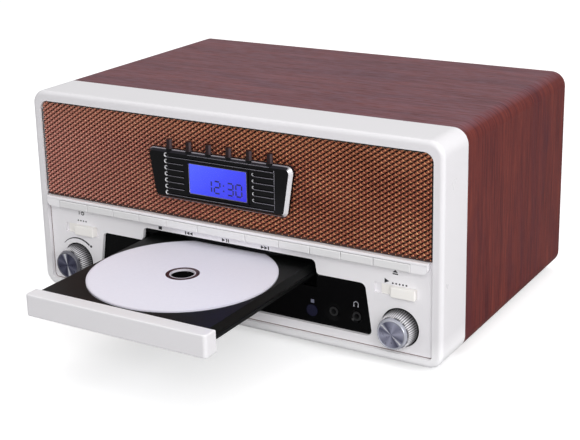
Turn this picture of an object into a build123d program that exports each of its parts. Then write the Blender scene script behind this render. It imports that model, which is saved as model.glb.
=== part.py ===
"""A table-top stereo music centre, its drawer open, built as separate pieces.

Everything is drawn in the front frame: X to the right, Y into the cabinet, Z up, with Y = 0 at the face of
the white front frame and Z = 0 at the cabinet's underside. Each piece is moved to the row frame as it is
saved: there the origin lies on the surface that the feet stand on, under the middle of the whole object's
box, which reaches from the open drawer's face to the screws in the rear panel.
"""

import os
from math import acos, atan2, cos, degrees, hypot, pi, radians, sin, tan

from build123d import *

# ------------------------------------------------------------------ driving dimensions, all in millimetres
# Cabinet
case_width = 312.0
case_height = 144.0
bezel_depth = 35.0
wrap_depth = 172.0
corner_radius = 10.0
board_thickness = 9.0
foot_height = 4.0
foot_radius = 9.0
foot_inset_x = 26.0
foot_inset_front = 17.0
foot_inset_back = 17.0

# White front frame
bezel_wall = 3.0
lip_depth = 3.0
lip_side = 6.7
lip_top = 7.0
lip_bottom = 5.6
opening_round_top = 6.5
opening_round_bottom = 3.0
front_round = 3.0
tongue_length = 8.0

# Rear panel
rear_panel_thickness = 4.0
rear_rabbet_width = 3.8
rear_recess = 1.0
vent_width = 3.0
vent_length = 42.0
vent_pitch = 7.0
vent_count = 8
vent_inset = 60.0
vent_centre_z = 78.0

# Fits
slip = 0.1
loose = 0.3
running = 0.05
thread_gap = 0.02
key_gap = 0.3

# One self-tapping screw for everything
screw_radius = 1.3
screw_length = 8.0
screw_head_radius = 2.7
screw_head_height = 1.8
screw_cross_width = 0.7
screw_cross_length = 3.4
screw_cross_depth = 1.0
screw_clear = 0.2

# Grille
grille_bottom = 69.3
grille_inset = 0.6
grille_sheet = 0.8
grille_gap = 0.5

# Speaker baffle and speakers
baffle_thickness = 3.0
speaker_inset = 59.0
speaker_margin = 1.0
speaker_rim = 4.0
speaker_flange = 1.5
surround_inset = 2.6
surround_width = 4.2
surround_thickness = 0.8
basket_depth = 18.0
basket_wall = 1.0
basket_back_radius = 21.0
basket_windows = 4
basket_window_width = 22.0
magnet_radius = 20.0
magnet_length = 12.0
coil_radius = 9.4
coil_wall = 0.6
coil_gap = 0.4
pole_recess = 8.5
cone_depth = 11.0
cone_wall = 0.8
cone_travel = 1.5
cap_rise = 3.0
cap_shoulder = 0.8

# Control panel, its window and its ledge
panel_thickness = 2.5
panel_setback = 0.5
panel_top = 68.9
window_hump_top = 56.0
window_hump_half = 67.0
window_step_half = 68.3
window_step_z = 46.6
window_shoulder_gap = 24.1
window_foot_gap = 19.1
window_foot_z = 11.8
window_hump_round = 3.5
window_step_round = 2.2
window_round = 4.0
ledge_gap = 2.3
ledge_bottom = 67.0
ledge_proud = 2.6
ledge_round = 0.5

# Keys
key_bottom = 61.6
key_proud = 3.0
key_travel = 1.0
key_round = 0.6
key_edge_shares = (0.1265, 0.2986, 0.4524, 0.6014, 0.7551, 0.9238)
key_names = (
    "key_standby", "key_function", "key_memory", "key_stop", "key_previous", "key_play",
    "key_next", "key_folder", "key_clock", "key_mode", "key_eject",
)
key_back_gap = 1.1
stem_half_width = 4.0
stem_half_height = 1.5
stem_flange_half = 5.5
stem_flange_half_height = 2.6
stem_flange_thickness = 1.0
stem_end_y = 7.8
key_board_y = 12.0
key_board_thickness = 1.6
key_board_bottom = 58.6
key_board_top = 68.0
key_board_inset = 1.0
key_post_radius = 3.0
tact_half = 3.0

# Black fascia behind the window
fascia_thickness = 2.0
fascia_inset = 14.0
fascia_bottom = 4.0
fascia_top = 58.0
mouth_gap = 0.6
mouth_top = 52.3
jack_gaps = (24.0, 7.5)
jack_z = 22.0
jack_barrel_radius = 3.0
jack_bore_radius = 1.8
jack_bore_depth = 14.0
jack_body_width = 11.0
jack_body_height = 8.0
jack_body_depth = 13.0
jack_dish_radii = (6.2, 4.2)
jack_dish_depth = 0.8
indicator_gap = 39.6
indicator_z = 20.0
indicator_radius = 4.0
indicator_flange = 1.0

# Rotary controls
knob_inset = 29.4
knob_z = 22.0
knob_well_radius = 12.8
knob_base_radius = 12.1
knob_front_radius = 10.0
knob_back_y = 3.4
knob_front_y = -9.8
knob_knurl_front_y = -7.6
knob_knurls = 48
knob_knurl_depth = 0.45
knob_face_radius = 9.3
knob_face_dish = 0.2
knob_edge = 0.4
knob_cavity_radius = 9.0
knob_cavity_depth = 6.0
shaft_radius = 3.0
shaft_front_y = -7.0
bushing_radius = 3.5
bushing_front_y = 1.5
bushing_nut_radius = 5.5
bushing_nut_thickness = 2.0
rotary_body_half = 8.5
rotary_body_depth = 9.0
shaft_back_depth = 5.0

# Slide switches
switch_slot_length = 29.0
switch_slot_height = 6.8
switch_slot_depth = 1.7
switch_z = 45.6
switch_plate_length = 24.0
switch_plate_thickness = 1.0
switch_cap_length = 16.2
switch_cap_front_y = -0.5
switch_lever_half_length = 2.0
switch_lever_half_height = 1.0
switch_lever_reach = 2.0
switch_body_length = 22.0
switch_body_height = 8.0
switch_body_depth = 5.5
band_switch_inset = 34.3
band_switch_rest = 0.0
band_switch_range = (-2.0, 2.0)
mute_switch_inset = 32.6
mute_switch_rest = 2.3
mute_switch_range = (-4.6, 0.0)

# Display unit
display_bottom = 82.6
display_top = 116.5
display_half_top = 56.0
display_half_bottom = 50.5
display_round = 4.5
display_front_y = -4.0
display_wall = 1.4
display_bevel = 2.0
lcd_half_width = 22.5
lcd_bottom = 88.6
lcd_top = 109.5
lcd_frame = 1.2
lcd_frame_proud = 0.5
lens_thickness = 1.0
lens_ledge = 0.8
module_thickness = 2.4
module_margin = 1.2
slot_rows = 7
slot_top_z = 112.7
slot_pitch = 4.27
slot_height = 2.6
slot_left = -41.5
slot_right = 42.5
slot_lcd_gap = 3.2
slot_depth = 0.9
post_count = 6
post_pitch = 15.4
post_radius = 1.9
post_height = 6.5
post_collar_radius = 2.3
post_collar_height = 1.2
post_y = -1.8
display_boss_radius = 2.0
display_boss_x = 46.0
display_boss_z = 99.5
display_boss_length = 6.4
ribbon_half_width = 8.0
ribbon_half_height = 3.0

# Disc
disc_radius = 60.0
disc_hole_radius = 7.5
disc_thickness = 1.2
disc_rest_y = -46.2

# Drawer
tray_travel = 118.0
tray_half_top = 61.5
tray_half_foot = 64.3
tray_half_flange = 65.8
tray_top = 51.0
tray_plate_bottom = 48.3
tray_shoulder_z = 47.0
tray_flange_bottom = 45.0
tray_side_wall = 2.3
tray_rear_y = 36.0
well_depth = 0.7
well_gap = 0.7
well_front_wall = 0.6
small_well_radius = 41.0
small_well_depth = 1.0
tray_hole_radius = 18.0
tray_slot_half = 17.0
tray_slot_length = 62.0
front_cap_half = 66.0
front_cap_bottom = 37.0
front_cap_top = 51.3
front_cap_depth = 10.4
front_cap_wall = 2.2
front_cap_round = 2.4
front_cap_edge = 1.0
plug_depth = 3.0
plug_gap = 0.2
plug_root = 1.0
rack_half_tooth_gap = 0.15
rack_line_x = -50.0
rack_bottom = 42.2
rack_back = 7.0
rack_front_y = -98.0
rack_rear_y = 32.0

# Gears: module, tooth counts and heights
gear_module = 1.0
pressure_angle = 20.0
addendum_share = 0.75
dedendum_share = 1.05
drive_teeth_upper = 24
drive_teeth_lower = 28
pinion_teeth = 12
drive_gear_y = 28.5
drive_upper_z = (42.4, 46.0)
drive_lower_z = (38.0, 41.6)
gear_hub_radius = 4.0
gear_post_radius = 2.0
gear_post_rise = 0.5
pulley_z = (33.0, 37.0)
belt_size = 1.2
belt_line_large = 12.0
belt_line_small = 4.0
pulley_flange = 1.0
motor_pulley_x = 16.0

# Loader chassis
chassis_front_y = 12.0
chassis_rear_y = 160.0
chassis_floor_z = (30.0, 32.0)
chassis_wall = 3.0
chassis_wall_bottom = 27.0
chassis_wall_top = 53.6
chassis_gap = 0.4
rail_width = 3.7
rail_thickness = 2.0
rail_gap = 0.3
guide_width = 1.2
guide_thickness = 2.0
guide_spans = ((14.0, 24.0), (88.0, 100.0), (140.0, 155.0))
window_half = 49.0
window_front_y = 48.8
window_rear_y = 157.0
leg_width = 5.0
leg_length = 12.0
leg_foot_width = 8.0
leg_foot_thickness = 3.0
leg_y = (46.0, 138.0)
guide_pin_radius = 2.0
guide_pin_x = 52.5
guide_pin_y = (62.0, 140.0)
guide_pin_top = 41.0

# Clamp
bridge_half_length = 10.0
bridge_thickness = 1.5
bridge_hole_radius = 12.0
puck_radius = 11.0
puck_flange_radius = 14.0
puck_bottom = 52.3
puck_flange_thickness = 1.0

# Cam slide and traverse
lift = 4.2
cam_travel = 12.0
cam_y = (45.3, 47.3)
cam_half = 40.0
cam_top = 46.0
cam_pin_radius = 1.5
cam_pin_x = 24.0
cam_pin_z = 38.0
cam_pin_gap = 0.1
cam_rib_half = 8.0
cam_rib_height = 5.0
cam_rib_thickness = 1.0
traverse_half = 48.0
traverse_front_y = 49.0
traverse_rear_y = 156.0
traverse_z = (34.0, 36.0)
traverse_wall = 2.0
traverse_front_half = 30.0
traverse_front_top = 42.0
traverse_front_bottom = 32.5
lug_half = 4.5
lug_thickness = 3.0
lug_reach = 9.0

# Turntable
platter_radius = 14.0
platter_top_down = 45.8
platter_thickness = 2.5
hub_radius = 7.4
hub_height = 1.8
stem_radius = 3.0
motor_radius = 12.2
motor_height = 12.3
motor_shaft_radius = 1.0
motor_shaft_depth = 6.0
shaft_hole_radius = 3.2

# Pickup sled and its feed
rod_x = 20.0
rod_z = 40.0
rod_radius = 1.5
rod_block_length = 3.0
sled_end_gap = 1.0
rod_block_half = 3.0
rod_block_top = 42.5
sled_y = (90.0, 112.0)
sled_half = 25.0
sled_z = (37.6, 43.5)
sled_travel = 34.0
pickup_lens_y = 95.8
pickup_lens_radius = 2.5
pickup_lens_height = 1.3
feed_module = 0.8
feed_teeth = 20
feed_pinion_teeth = 10
feed_line_x = -28.0
feed_y = 118.0
feed_rack_margin = 3.0
feed_rack_height = 3.0
feed_rack_back = 3.0
feed_gear_z = (37.0, 40.6)

# Boards and power
board_sheet = 1.6
main_board_insets = (70.0, 14.0)
main_board_y = (60.0, 180.0)
standoff_height = 6.0
standoff_radius = 3.0
standoff_inset = 6.0
# Capacitors: from the board's left and front edges, radius, height. Chips: the same, half sizes, height.
capacitors = (
    (16.0, 20.0, 6.0, 20.0), (16.0, 36.0, 6.0, 20.0), (14.0, 56.0, 4.0, 11.0), (14.0, 68.0, 4.0, 11.0),
)
chips = ((16.0, 86.0, 8.0, 6.0, 3.0), (33.0, 13.0, 7.0, 7.0, 7.0))
sink_insets = (38.0, 18.0)
sink_y = (90.0, 150.0)
sink_height = 27.0
sink_base = 3.0
sink_fin = 1.5
sink_fins = 6
transformer_insets = (22.0, 62.0)
transformer_y = (122.0, 160.0)
core_thickness = 16.0
core_height = 40.0
bobbin_margin = 8.0
bracket_thickness = 1.2
bracket_ear = 9.0
inlet_inset = 48.0
inlet_z = 34.0
inlet_body_half_width = 11.0
inlet_body_half_height = 7.0
inlet_body_depth = 18.0
inlet_flange_margin = 3.0
inlet_recess_half_width = 8.6
inlet_recess_half_height = 4.7
inlet_recess_depth = 12.5
inlet_pin_x = 4.3
inlet_pin_radius = 1.2
inlet_pin_length = 9.0

# ------------------------------------------------------------------ places worked out from those sizes
case_half = case_width / 2
case_depth = bezel_depth + wrap_depth
opening_half = case_half - lip_side
opening_top = case_height - lip_top
speaker_x = case_half - speaker_inset
speaker_z = (grille_bottom + opening_top - grille_gap) / 2
speaker_radius = speaker_z - panel_top - speaker_margin
baffle_hole_radius = speaker_radius - speaker_rim
surround_outer_radius = speaker_radius - surround_inset
cone_radius = surround_outer_radius - surround_width
knob_x = case_half - knob_inset
band_switch_x = band_switch_inset - case_half
mute_switch_x = case_half - mute_switch_inset
window_shoulder_half = knob_x - window_shoulder_gap
window_foot_half = knob_x - window_foot_gap
jack_x = tuple(window_shoulder_half - gap for gap in jack_gaps)
indicator_x = window_shoulder_half - indicator_gap
ledge_half = opening_half - ledge_gap
key_edges = tuple(share * ledge_half for share in key_edge_shares)
key_board_half = ledge_half - key_board_inset
fascia_half = case_half - fascia_inset
vent_centre_x = case_half - vent_inset
main_board_x = tuple(case_half - inset for inset in main_board_insets)
sink_x = tuple(case_half - inset for inset in sink_insets)
transformer_x = tuple(inset - case_half for inset in transformer_insets)
inlet_x = inlet_inset - case_half
panel_front_y = lip_depth
panel_back_y = lip_depth + panel_thickness
panel_half = case_half - bezel_wall - panel_setback
fascia_back_y = panel_back_y + fascia_thickness
well_floor_z = tray_top - well_depth
disc_closed_y = disc_rest_y + tray_travel
cap_rear_y = disc_rest_y - disc_radius - well_gap - well_front_wall
cap_front_y = cap_rear_y - front_cap_depth
drive_upper_radius = gear_module * drive_teeth_upper / 2
drive_lower_radius = gear_module * drive_teeth_lower / 2
pinion_radius = gear_module * pinion_teeth / 2
drive_gear_x = rack_line_x + drive_upper_radius
belt_pulley_x = drive_gear_x + drive_lower_radius + pinion_radius
feed_radius = feed_module * feed_teeth / 2
feed_pinion_radius = feed_module * feed_pinion_teeth / 2
feed_x = feed_line_x - feed_radius
feed_pinion_y = feed_y + feed_radius + feed_pinion_radius
feed_rack_y = (feed_y - sled_travel - feed_rack_margin, feed_y + feed_rack_margin)
rod_end_reach = sled_end_gap + rod_block_length
rod_y = (sled_y[0] - rod_end_reach, sled_y[1] + sled_travel + rod_end_reach)
floor_top = chassis_floor_z[1]
chassis_inner = tray_half_flange + chassis_gap
chassis_outer = chassis_inner + chassis_wall
slide_switches = (
    (band_switch_x, band_switch_rest, band_switch_range),
    (mute_switch_x, mute_switch_rest, mute_switch_range),
)
rail_top = tray_flange_bottom - rail_gap
guide_bottom = tray_shoulder_z + rail_gap
rear_shoulder_y = case_depth - rear_recess - rear_panel_thickness
rear_outer_y = case_depth - rear_recess
speaker_flange_y = panel_front_y + baffle_thickness
rear_screw_offset = rear_rabbet_width + screw_head_radius + loose
whole_middle_y = (cap_front_y + rear_outer_y + screw_head_height) / 2


# ------------------------------------------------------------------ drawing helpers
def block(x, y, z):
    """A box between two corners, each argument a (low, high) pair."""
    size = [high - low for low, high in (x, y, z)]
    middle = [(low + high) / 2 for low, high in (x, y, z)]
    return Pos(*middle) * Box(*size)


def centred(half):
    """The span from -half to +half."""
    return (-half, half)


def around(middle, half):
    """The span of a given half-width about a middle."""
    return (middle - half, middle + half)


def rod_along_y(x, z, radius, y):
    return Pos(x, sum(y) / 2, z) * Rot(X=90) * Cylinder(radius, y[1] - y[0])


def rod_along_z(x, y, radius, z):
    return Pos(x, y, sum(z) / 2) * Cylinder(radius, z[1] - z[0])


def slab(outline, y):
    """A plate facing the front: an outline drawn in X and Z, thick from y[0] to y[1]."""
    back = Plane(origin=(0, y[1], 0), x_dir=(1, 0, 0), z_dir=(0, -1, 0))
    return extrude(back * outline, y[1] - y[0], dir=(0, -1, 0))


def raised(outline, z):
    """A plate lying flat: an outline drawn in X and Y, thick from z[0] to z[1]."""
    return Pos(0, 0, z[0]) * extrude(outline, z[1] - z[0], dir=(0, 0, 1))


def case_outline(offset):
    """The cabinet's front outline, drawn in by an offset."""
    width = case_width - 2 * offset
    height = case_height - 2 * offset
    round_left = max(corner_radius - offset, 1.0)
    return Pos(0, case_height / 2) * RectangleRounded(width, height, round_left)


def rounded_polygon(points, rounds):
    """A polygon whose corners are rounded one by one, each by its own radius."""
    outline = Polygon(*points, align=None)
    for point, radius in zip(points, rounds):
        if radius > 0:
            corner = outline.vertices().sort_by_distance((point[0], point[1], 0))[0]
            outline = fillet(corner, radius)
    return outline


def mirrored(points):
    """A left-hand outline, from top to bottom, then its right-hand mirror image, from points on the right."""
    return [(-x, z) for x, z in points] + list(reversed(points))


def polar(radius, angle):
    """The point at a radius and an angle in degrees."""
    return (radius * cos(radians(angle)), radius * sin(radians(angle)))


def save(name, shape):
    """Moves a finished piece to the row frame and writes its STEP file."""
    solids = [Pos(0, -whole_middle_y, foot_height) * solid for solid in shape.solids()]
    whole = solids[0] if len(solids) == 1 else Compound(children=solids)
    whole.label = name
    export_step(whole, f"parts/{name}.step")


# ------------------------------------------------------------------ gears
def involute(angle):
    return tan(angle) - angle


def gear(teeth, module, z, first_tooth):
    """A spur gear about the Z axis, with a tooth centred at the angle first_tooth, in degrees."""
    pitch_radius = module * teeth / 2
    base_radius = pitch_radius * cos(radians(pressure_angle))
    root_radius = pitch_radius - dedendum_share * module
    tip_radius = pitch_radius + addendum_share * module
    thickness = pi * module / 2 - 2 * rack_half_tooth_gap * module
    half_at_pitch = thickness / 2 / pitch_radius
    start = max(base_radius, root_radius)
    radii = [start + (tip_radius - start) * share for share in (0.0, 0.35, 0.7, 1.0)]

    def half_angle(radius):
        turn = acos(min(base_radius / radius, 1.0))
        return degrees(half_at_pitch + involute(radians(pressure_angle)) - involute(turn))

    points = []
    for tooth in range(teeth):
        middle = first_tooth + 360 * tooth / teeth
        points.append(polar(root_radius, middle - half_angle(start)))
        points += [polar(radius, middle - half_angle(radius)) for radius in radii]
        points += [polar(radius, middle + half_angle(radius)) for radius in reversed(radii)]
        points.append(polar(root_radius, middle + half_angle(start)))
    distinct = [p for p, q in zip(points, points[1:] + points[:1]) if hypot(p[0] - q[0], p[1] - q[1]) > 1e-4]
    return raised(Polygon(*distinct, align=None), z)


def rack(module, y, z, line_x, side, back, space_y):
    """A rack along Y. Its teeth point to side (1 or -1) from the pitch line, with a space at space_y."""
    pitch = pi * module
    slope = tan(radians(pressure_angle))
    half_pitch_line = pitch / 4 - rack_half_tooth_gap * module
    half_tip = half_pitch_line - addendum_share * module * slope
    half_root = half_pitch_line + dedendum_share * module * slope
    tip_x = line_x + side * addendum_share * module
    root_x = line_x - side * dedendum_share * module
    count = int((y[1] - space_y) / pitch - 1)
    first = -int((space_y - y[0]) / pitch - 1)
    body = block(sorted((root_x, root_x - side * back)), y, z)
    teeth = []
    for step in range(first, count + 1):
        middle = space_y + (step + 0.5) * pitch
        if middle - half_root > y[0] and middle + half_root < y[1]:
            corners = [
                (root_x, middle - half_root), (tip_x, middle - half_tip),
                (tip_x, middle + half_tip), (root_x, middle + half_root),
            ]
            teeth.append(raised(Polygon(*corners[::side], align=None), z))
    return body + teeth


# ------------------------------------------------------------------ screws
def screw():
    """The cabinet's one pan-head screw: its head's underside at Z = 0, its shank pointing down."""
    head = Pos(0, 0, screw_head_height / 2) * Cylinder(screw_head_radius, screw_head_height)
    head = fillet(head.edges().group_by(Axis.Z)[-1], screw_head_height / 2)
    shank = Pos(0, 0, -screw_length / 2) * Cylinder(screw_radius, screw_length)
    shank = chamfer(shank.edges().group_by(Axis.Z)[0], screw_radius / 2)
    cross_z = screw_head_height - screw_cross_depth / 2
    cross = Pos(0, 0, cross_z) * Box(screw_cross_length, screw_cross_width, screw_cross_depth)
    cross += Pos(0, 0, cross_z) * Box(screw_cross_width, screw_cross_length, screw_cross_depth)
    return head + shank - cross


rear_screw_x = case_half - rear_screw_offset
rear_screw_rise = rear_screw_offset + corner_radius
rear_screw_points = [
    (side * rear_screw_x, z) for side in (-1, 1)
    for z in (rear_screw_rise, case_height / 2, case_height - rear_screw_rise)
] + [(0, rear_screw_offset), (0, case_height - rear_screw_offset)]
foot_points = [
    (side * (case_half - foot_inset_x), y) for side in (-1, 1)
    for y in (bezel_depth + foot_inset_front, case_depth - foot_inset_back)
]
leg_screw_x = chassis_outer + leg_width + leg_foot_width / 2
leg_screw_points = [(side * leg_screw_x, y + leg_length / 2) for side in (-1, 1) for y in leg_y]
standoff_points = [
    (x, y) for x in (main_board_x[0] + standoff_inset, main_board_x[1] - standoff_inset)
    for y in (main_board_y[0] + standoff_inset, main_board_y[1] - standoff_inset)
]
key_post_z = (key_board_bottom + key_board_top) / 2
key_post_x = (-(key_edges[5] + ledge_half) / 2, -key_edges[1], key_edges[1], (key_edges[5] + ledge_half) / 2)
foot_recess = screw_head_height + loose
bracket_screw_y = sum(transformer_y) / 2
bracket_screw_x = (transformer_x[0] - bracket_ear / 2, transformer_x[1] + bracket_ear / 2)


def screws():
    """Every screw, each driven in where it holds."""
    driven = []
    facing_back = Rot(X=-90)
    for x, z in rear_screw_points:
        driven.append(Pos(x, rear_outer_y, z) * facing_back * screw())
    for x, y in foot_points:
        driven.append(Pos(x, y, foot_recess - foot_height) * Rot(X=180) * screw())
    for x, y in leg_screw_points:
        driven.append(Pos(x, y, board_thickness + leg_foot_thickness) * screw())
    for x, y in standoff_points:
        driven.append(Pos(x, y, board_thickness + standoff_height + board_sheet) * screw())
    for x in key_post_x:
        driven.append(Pos(x, key_board_y + key_board_thickness, key_post_z) * facing_back * screw())
    for x in bracket_screw_x:
        driven.append(Pos(x, bracket_screw_y, board_thickness + bracket_thickness) * screw())
    return Compound(children=driven)


# ------------------------------------------------------------------ cabinet
def cabinet_shell():
    """Four boards wrapped in wood film: a tongue enters the front frame, a rabbet holds the rear panel."""
    tongue_y = (bezel_depth - tongue_length, bezel_depth)
    shell = slab(case_outline(0), (bezel_depth, case_depth))
    shell += slab(case_outline(bezel_wall + slip), tongue_y)
    shell -= slab(case_outline(board_thickness), (tongue_y[0], case_depth))
    shell -= slab(case_outline(rear_rabbet_width), (rear_shoulder_y, case_depth))
    pilot = screw_radius + thread_gap
    depth = screw_length - rear_panel_thickness + loose
    for x, z in rear_screw_points:
        shell -= rod_along_y(x, z, pilot, (rear_shoulder_y - depth, rear_shoulder_y))
    for x, y_foot in foot_points:
        shell -= rod_along_z(x, y_foot, pilot, (0, foot_recess - foot_height + screw_length + loose))
    for x, y_leg in leg_screw_points:
        shell -= rod_along_z(x, y_leg, pilot, (board_thickness - screw_length, board_thickness))
    for x, y_post in standoff_points:
        shell -= rod_along_z(x, y_post, pilot, (board_thickness - screw_length / 2, board_thickness))
    for x in bracket_screw_x:
        shell -= rod_along_z(x, bracket_screw_y, pilot, (board_thickness - screw_length, board_thickness))
    return shell


def front_opening():
    """The outline of the frame's opening, rounder at the top than at the bottom."""
    corners = mirrored([(opening_half, opening_top), (opening_half, lip_bottom)])
    rounds = (opening_round_top, opening_round_bottom, opening_round_bottom, opening_round_top)
    return rounded_polygon(corners, rounds)


def front_bezel():
    """The white moulded frame: a lip in front and thin walls that the wood wrap's tongue enters."""
    outer = slab(case_outline(0), (0, bezel_depth))
    front_edges = outer.edges().group_by(Axis.Y)[0]
    outer = fillet(front_edges, front_round)
    outer -= slab(case_outline(bezel_wall), (lip_depth, bezel_depth))
    return outer - slab(front_opening(), (0, lip_depth))


def rear_panel():
    """The flat back, set into the wrap, with vents, the inlet's cut-out and screw holes."""
    y = (rear_shoulder_y, rear_outer_y)
    panel = slab(case_outline(rear_rabbet_width + loose), y)
    for index in range(vent_count):
        x = vent_centre_x + (index - (vent_count - 1) / 2) * vent_pitch
        vent = Pos(x, vent_centre_z) * Rot(Z=90) * SlotOverall(vent_length, vent_width)
        panel -= slab(vent, y)
    half_width = inlet_body_half_width + slip
    half_height = inlet_body_half_height + slip
    panel -= block(around(inlet_x, half_width), y, around(inlet_z, half_height))
    for x, z in rear_screw_points:
        panel -= rod_along_y(x, z, screw_radius + screw_clear, y)
    return panel


def feet():
    """Four rubber feet, each recessed for its screw."""
    group = []
    for x, y in foot_points:
        foot = rod_along_z(x, y, foot_radius, (-foot_height, 0))
        foot = fillet(foot.edges().group_by(Axis.Z)[0], front_round / 3)
        foot -= rod_along_z(x, y, screw_head_radius + screw_clear, (-foot_height, foot_recess - foot_height))
        foot -= rod_along_z(x, y, screw_radius + screw_clear, (-foot_height, 0))
        group.append(foot)
    return Compound(children=group)


def mains_inlet():
    """A two-pin inlet in the rear panel, with its flange outside."""
    back = (rear_outer_y - inlet_body_depth, rear_outer_y)
    body = block(around(inlet_x, inlet_body_half_width), back, around(inlet_z, inlet_body_half_height))
    flange_x = around(inlet_x, inlet_body_half_width + inlet_flange_margin)
    flange_z = around(inlet_z, inlet_body_half_height + inlet_flange_margin)
    body += block(flange_x, (rear_outer_y, case_depth), flange_z)
    recess = Pos(inlet_x, inlet_z) * SlotOverall(2 * inlet_recess_half_width, 2 * inlet_recess_half_height)
    floor_y = case_depth - inlet_recess_depth
    body -= slab(recess, (floor_y, case_depth))
    for side in (-1, 1):
        x = inlet_x + side * inlet_pin_x
        body += rod_along_y(x, inlet_z, inlet_pin_radius, (floor_y, floor_y + inlet_pin_length))
    return body


# ------------------------------------------------------------------ grille and speakers
grille_half = opening_half - grille_gap
grille_top = opening_top - grille_gap
grille_back_y = grille_inset + grille_sheet
display_boss_points = [(side * display_boss_x, display_boss_z) for side in (-1, 1)]


def grille_outline(offset):
    """The grille's outline, drawn in by an offset."""
    side = grille_half - offset
    corners = mirrored([(side, grille_top - offset), (side, grille_bottom + offset)])
    top = opening_round_top - grille_gap - offset
    return rounded_polygon(corners, (top, 0, 0, top))


def grille_mesh():
    """The woven sheet, with its edge turned back onto the baffle."""
    pan = slab(grille_outline(0), (grille_inset, panel_front_y))
    pan -= slab(grille_outline(grille_sheet), (grille_back_y, panel_front_y))
    for x, z in display_boss_points:
        pan -= rod_along_y(x, z, display_boss_radius + slip, (grille_inset, grille_back_y))
    ribbon = around(display_boss_z, ribbon_half_height)
    return pan - block(centred(ribbon_half_width), (grille_inset, grille_back_y), ribbon)


def speaker_baffle():
    """The board behind the grille that carries the speakers and the display unit."""
    y = (panel_front_y, speaker_flange_y)
    top = case_height - bezel_wall - panel_setback
    baffle = block(centred(panel_half), y, (panel_top + slip, top))
    corner = corner_radius - bezel_wall - panel_setback
    upright = baffle.edges().filter_by(Axis.Y).group_by(Axis.Z)[-1]
    baffle = fillet(upright, corner)
    for side in (-1, 1):
        baffle -= rod_along_y(side * speaker_x, speaker_z, baffle_hole_radius, y)
    for x, z in display_boss_points:
        baffle -= rod_along_y(x, z, display_boss_radius + slip, y)
    return baffle - block(centred(ribbon_half_width), y, around(display_boss_z, ribbon_half_height))


def turned(points, x, z):
    """A shape turned about a line along Y: points are (radius, y) pairs of its half section."""
    face = Plane.XY * make_face(Polyline(*points, close=True))
    return Pos(x, 0, z) * revolve(face, Axis.Y)


basket_end_y = speaker_flange_y + basket_depth
magnet_y = (basket_end_y, basket_end_y + magnet_length)


def speaker_frame(x):
    """A pressed basket with its windows and the magnet on its back."""
    front = speaker_flange_y
    flange_back = front + speaker_flange
    inner = surround_outer_radius + slip
    wall = basket_wall
    shell = turned([
        (inner, front), (speaker_radius, front), (speaker_radius, flange_back), (inner + 2 * wall, flange_back),
        (basket_back_radius + wall, basket_end_y), (coil_radius + coil_gap, basket_end_y),
        (coil_radius + coil_gap, basket_end_y - wall), (basket_back_radius, basket_end_y - wall),
        (inner, flange_back),
    ], x, speaker_z)
    window_y = (flange_back + 2 * wall, basket_end_y - 2 * wall)
    for index in range(basket_windows):
        turn = 45 + 360 * index / basket_windows
        cutter = block((coil_radius + 2 * coil_gap, speaker_radius), window_y, centred(basket_window_width / 2))
        shell -= Pos(x, 0, speaker_z) * Rot(Y=turn) * cutter
    magnet = rod_along_y(x, speaker_z, magnet_radius, magnet_y)
    gap_y = (magnet_y[0], magnet_y[0] + pole_recess)
    slot = rod_along_y(x, speaker_z, coil_radius + coil_gap, gap_y)
    slot -= rod_along_y(x, speaker_z, coil_radius - coil_wall - coil_gap, gap_y)
    return shell + (magnet - slot)


def speaker_surround(x):
    """The half-roll between the cone's edge and the basket."""
    front = speaker_flange_y + slip + cone_travel / 3
    middle = (surround_outer_radius + cone_radius) / 2 + slip
    half = (surround_outer_radius - cone_radius) / 2 - slip
    centre = (middle, front + half / 2)
    thin = half - surround_thickness
    rise = half / 2
    low = rise - surround_thickness
    turn = range(0, 181, 30)
    profile = [(centre[0] + half * cos(radians(a)), centre[1] - rise * sin(radians(a))) for a in turn]
    inside = [(centre[0] + thin * cos(radians(a)), centre[1] + slip - low * sin(radians(a))) for a in turn]
    return turned(profile + inside[::-1], x, speaker_z)


def speaker_cone(x):
    """The cone with its dust cap and the coil former that enters the magnet."""
    edge_y = speaker_flange_y + cone_travel
    neck_y = edge_y + cone_depth
    outer = coil_radius
    former_end_y = magnet_y[0] + pole_recess - 2 * cone_travel
    cone = turned([
        (cone_radius, edge_y), (cone_radius, edge_y + cone_wall), (outer, neck_y + cone_wall),
        (outer, former_end_y), (outer - coil_wall, former_end_y), (outer - coil_wall, neck_y),
    ], x, speaker_z)
    cap = [(0, neck_y - cap_rise), (outer / 2, neck_y - cap_rise * cap_shoulder), (outer + cone_wall, neck_y)]
    inner_cap = [(p[0], p[1] + cone_wall) for p in reversed(cap)]
    return cone + turned(cap + inner_cap, x, speaker_z)


# ------------------------------------------------------------------ control panel and keys
key_spans = [(-high, -low) for low, high in zip(key_edges[:-1], key_edges[1:])][::-1]
key_spans += [centred(key_edges[0])]
key_spans += list(zip(key_edges[:-1], key_edges[1:]))
key_stem_z = (key_bottom + ledge_bottom) / 2


def window_outline():
    """The stepped window, from its hump over the drawer to its wide foot."""
    right = [
        (window_hump_half, window_hump_top), (window_step_half, window_step_z),
        (window_shoulder_half, window_step_z), (window_foot_half, window_foot_z),
    ]
    rounds = [window_hump_round, window_step_round, window_round, window_round]
    return rounded_polygon(mirrored(right), rounds + rounds[::-1])


def lever_slot(x, span, y):
    """The narrow slot that a slide switch's lever moves in; span is the lever's travel."""
    reach = switch_lever_half_length + loose
    height = switch_lever_half_height + loose
    return block((x + span[0] - reach, x + span[1] + reach), y, around(switch_z, height))


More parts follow.
